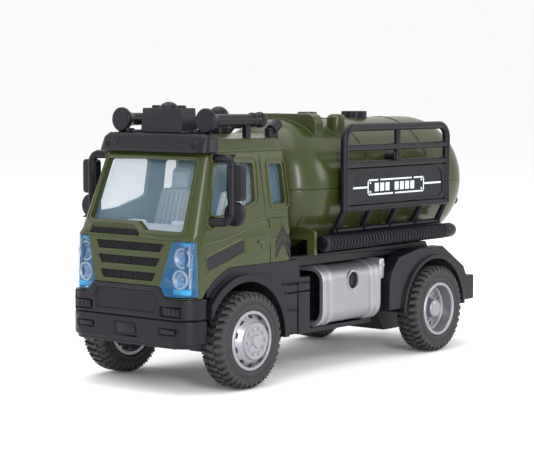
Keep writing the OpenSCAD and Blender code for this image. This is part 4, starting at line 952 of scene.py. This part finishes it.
print_white = moulded("white print", (0.46, 0.52, 0.62), (0.52, 0.58, 0.68), 0.5, grain_depth=0.001)
board_panel = [(52.0, 51.4), (54.0, 50.9), (100.0, 50.9), (102.2, 52.6),
               (101.4, 58.6), (99.6, 60.2), (54.6, 60.2), (53.0, 58.8)]
side_lines = [(52.8, 60.2, 55.0, 55.6), (91.6, 101.2, 55.0, 55.6)]
frame_bars = [(60.4, 66.0, 57.2, 57.7), (67.2, 84.4, 57.2, 57.7), (85.6, 91.4, 57.2, 57.7),
              (60.4, 74.0, 52.7, 53.2), (75.2, 91.4, 52.7, 53.2), (60.4, 60.9, 52.7, 57.7),
              (90.9, 91.4, 52.7, 57.7)]
corner_dots = [(y, y + 0.7, z, z + 0.6) for y in (61.5, 89.6) for z in (56.3, 53.5)]
blocks = [(y, y + 2.1, 53.9, 56.5) for y in (64.2, 67.1, 70.0, 75.0, 77.9, 80.8, 83.7)]
hose_pitch = 1.6
for side in ("left", "right"):
    hand = 1 if side == "left" else -1
    add_piece(f"rack_{side}", rounded(f"rack_{side}", f"side_rack_{side}", 0.1), black,
              stands_for=[f"side_rack_{side}"])
    board_low, board_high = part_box(f"sign_board_{side}")
    face = (board_high.x if hand > 0 else -board_low.x) / MM
    sunk = bmesh.new()
    prism(sunk, [at(hand * (face - 0.3), y, z) for y, z in board_panel], Vector((hand * MM, 0, 0)))
    add_piece(f"sign_{side}", rounded(f"sign_{side}", f"sign_board_{side}", 0.1, [cutter(outward(sunk))]),
              black, stands_for=[f"sign_board_{side}"])
    ink = bmesh.new()
    for y0, y1, z0, z1 in side_lines + frame_bars + corner_dots + blocks:
        prism(ink, [at(hand * (face - 0.32), y, z) for y, z in ((y0, z0), (y1, z0), (y1, z1), (y0, z1))],
              Vector((hand * 0.08 * MM, 0, 0)))
    add_piece(f"sign_print_{side}", finish_mesh("ink", outward(ink)), print_white)
    hose_low, hose_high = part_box(f"hose_{side}")
    centre = (hose_low + hose_high) / 2
    radius = (hose_high.z - hose_low.z) / 2 / MM
    length = (hose_high.y - hose_low.y) / MM
    core = bmesh.new()
    front_ring = [(0, 0.01), (0, radius - 0.5), (0.15, radius - 0.2), (0.5, radius - 0.02),
                  (1.5, radius - 0.02), (1.8, radius - 0.3), (1.9, radius - 0.75)]
    rear_collar = [(length - 6.4, radius - 0.75), (length - 6.2, radius - 0.3), (length - 5.8, radius - 0.12),
                   (length - 2.2, radius - 0.12), (length - 1.0, radius - 0.5), (length - 0.3, radius - 1.1),
                   (length, radius - 1.7), (length, 0.01)]
    spun(core, front_ring + rear_collar,
         Vector((centre.x, hose_low.y, centre.z)), steps=40, axis="Y")
    rib = bmesh.new()
    loop = [(-0.60, radius - 0.95), (-0.55, radius - 0.45), (-0.38, radius - 0.13), (-0.15, radius - 0.01),
            (0.15, radius - 0.01), (0.38, radius - 0.13), (0.55, radius - 0.45), (0.60, radius - 0.95)]
    spun(rib, loop + loop[:1], Vector((0, 0, 0)), steps=40, axis="Y")
    bmesh.ops.remove_doubles(rib, verts=rib.verts, dist=1e-7)
    count = int((length - 8.6) / hose_pitch)
    ribs = row_of(outward(rib), count, (centre.x, hose_low.y + 2.6 * MM, centre.z),
                  (0, (length - 9.6) / (count - 1) * MM, 0), black)
    tube = gathered(f"hose_tube_{side}", [finish_mesh("core", outward(core)), ribs], 30)
    add_piece(f"hose_tube_{side}", tube, black, stands_for=[f"hose_{side}"])

# ---------------------------------------------------------------- tail lamps
# Two red lenses of two cells each, pushed into the rear bumper.

lamp_red = moulded("red lamp", (0.35, 0.01, 0.01), (0.45, 0.02, 0.02), 0.15)
dress("tail_lamps", lamp_red)
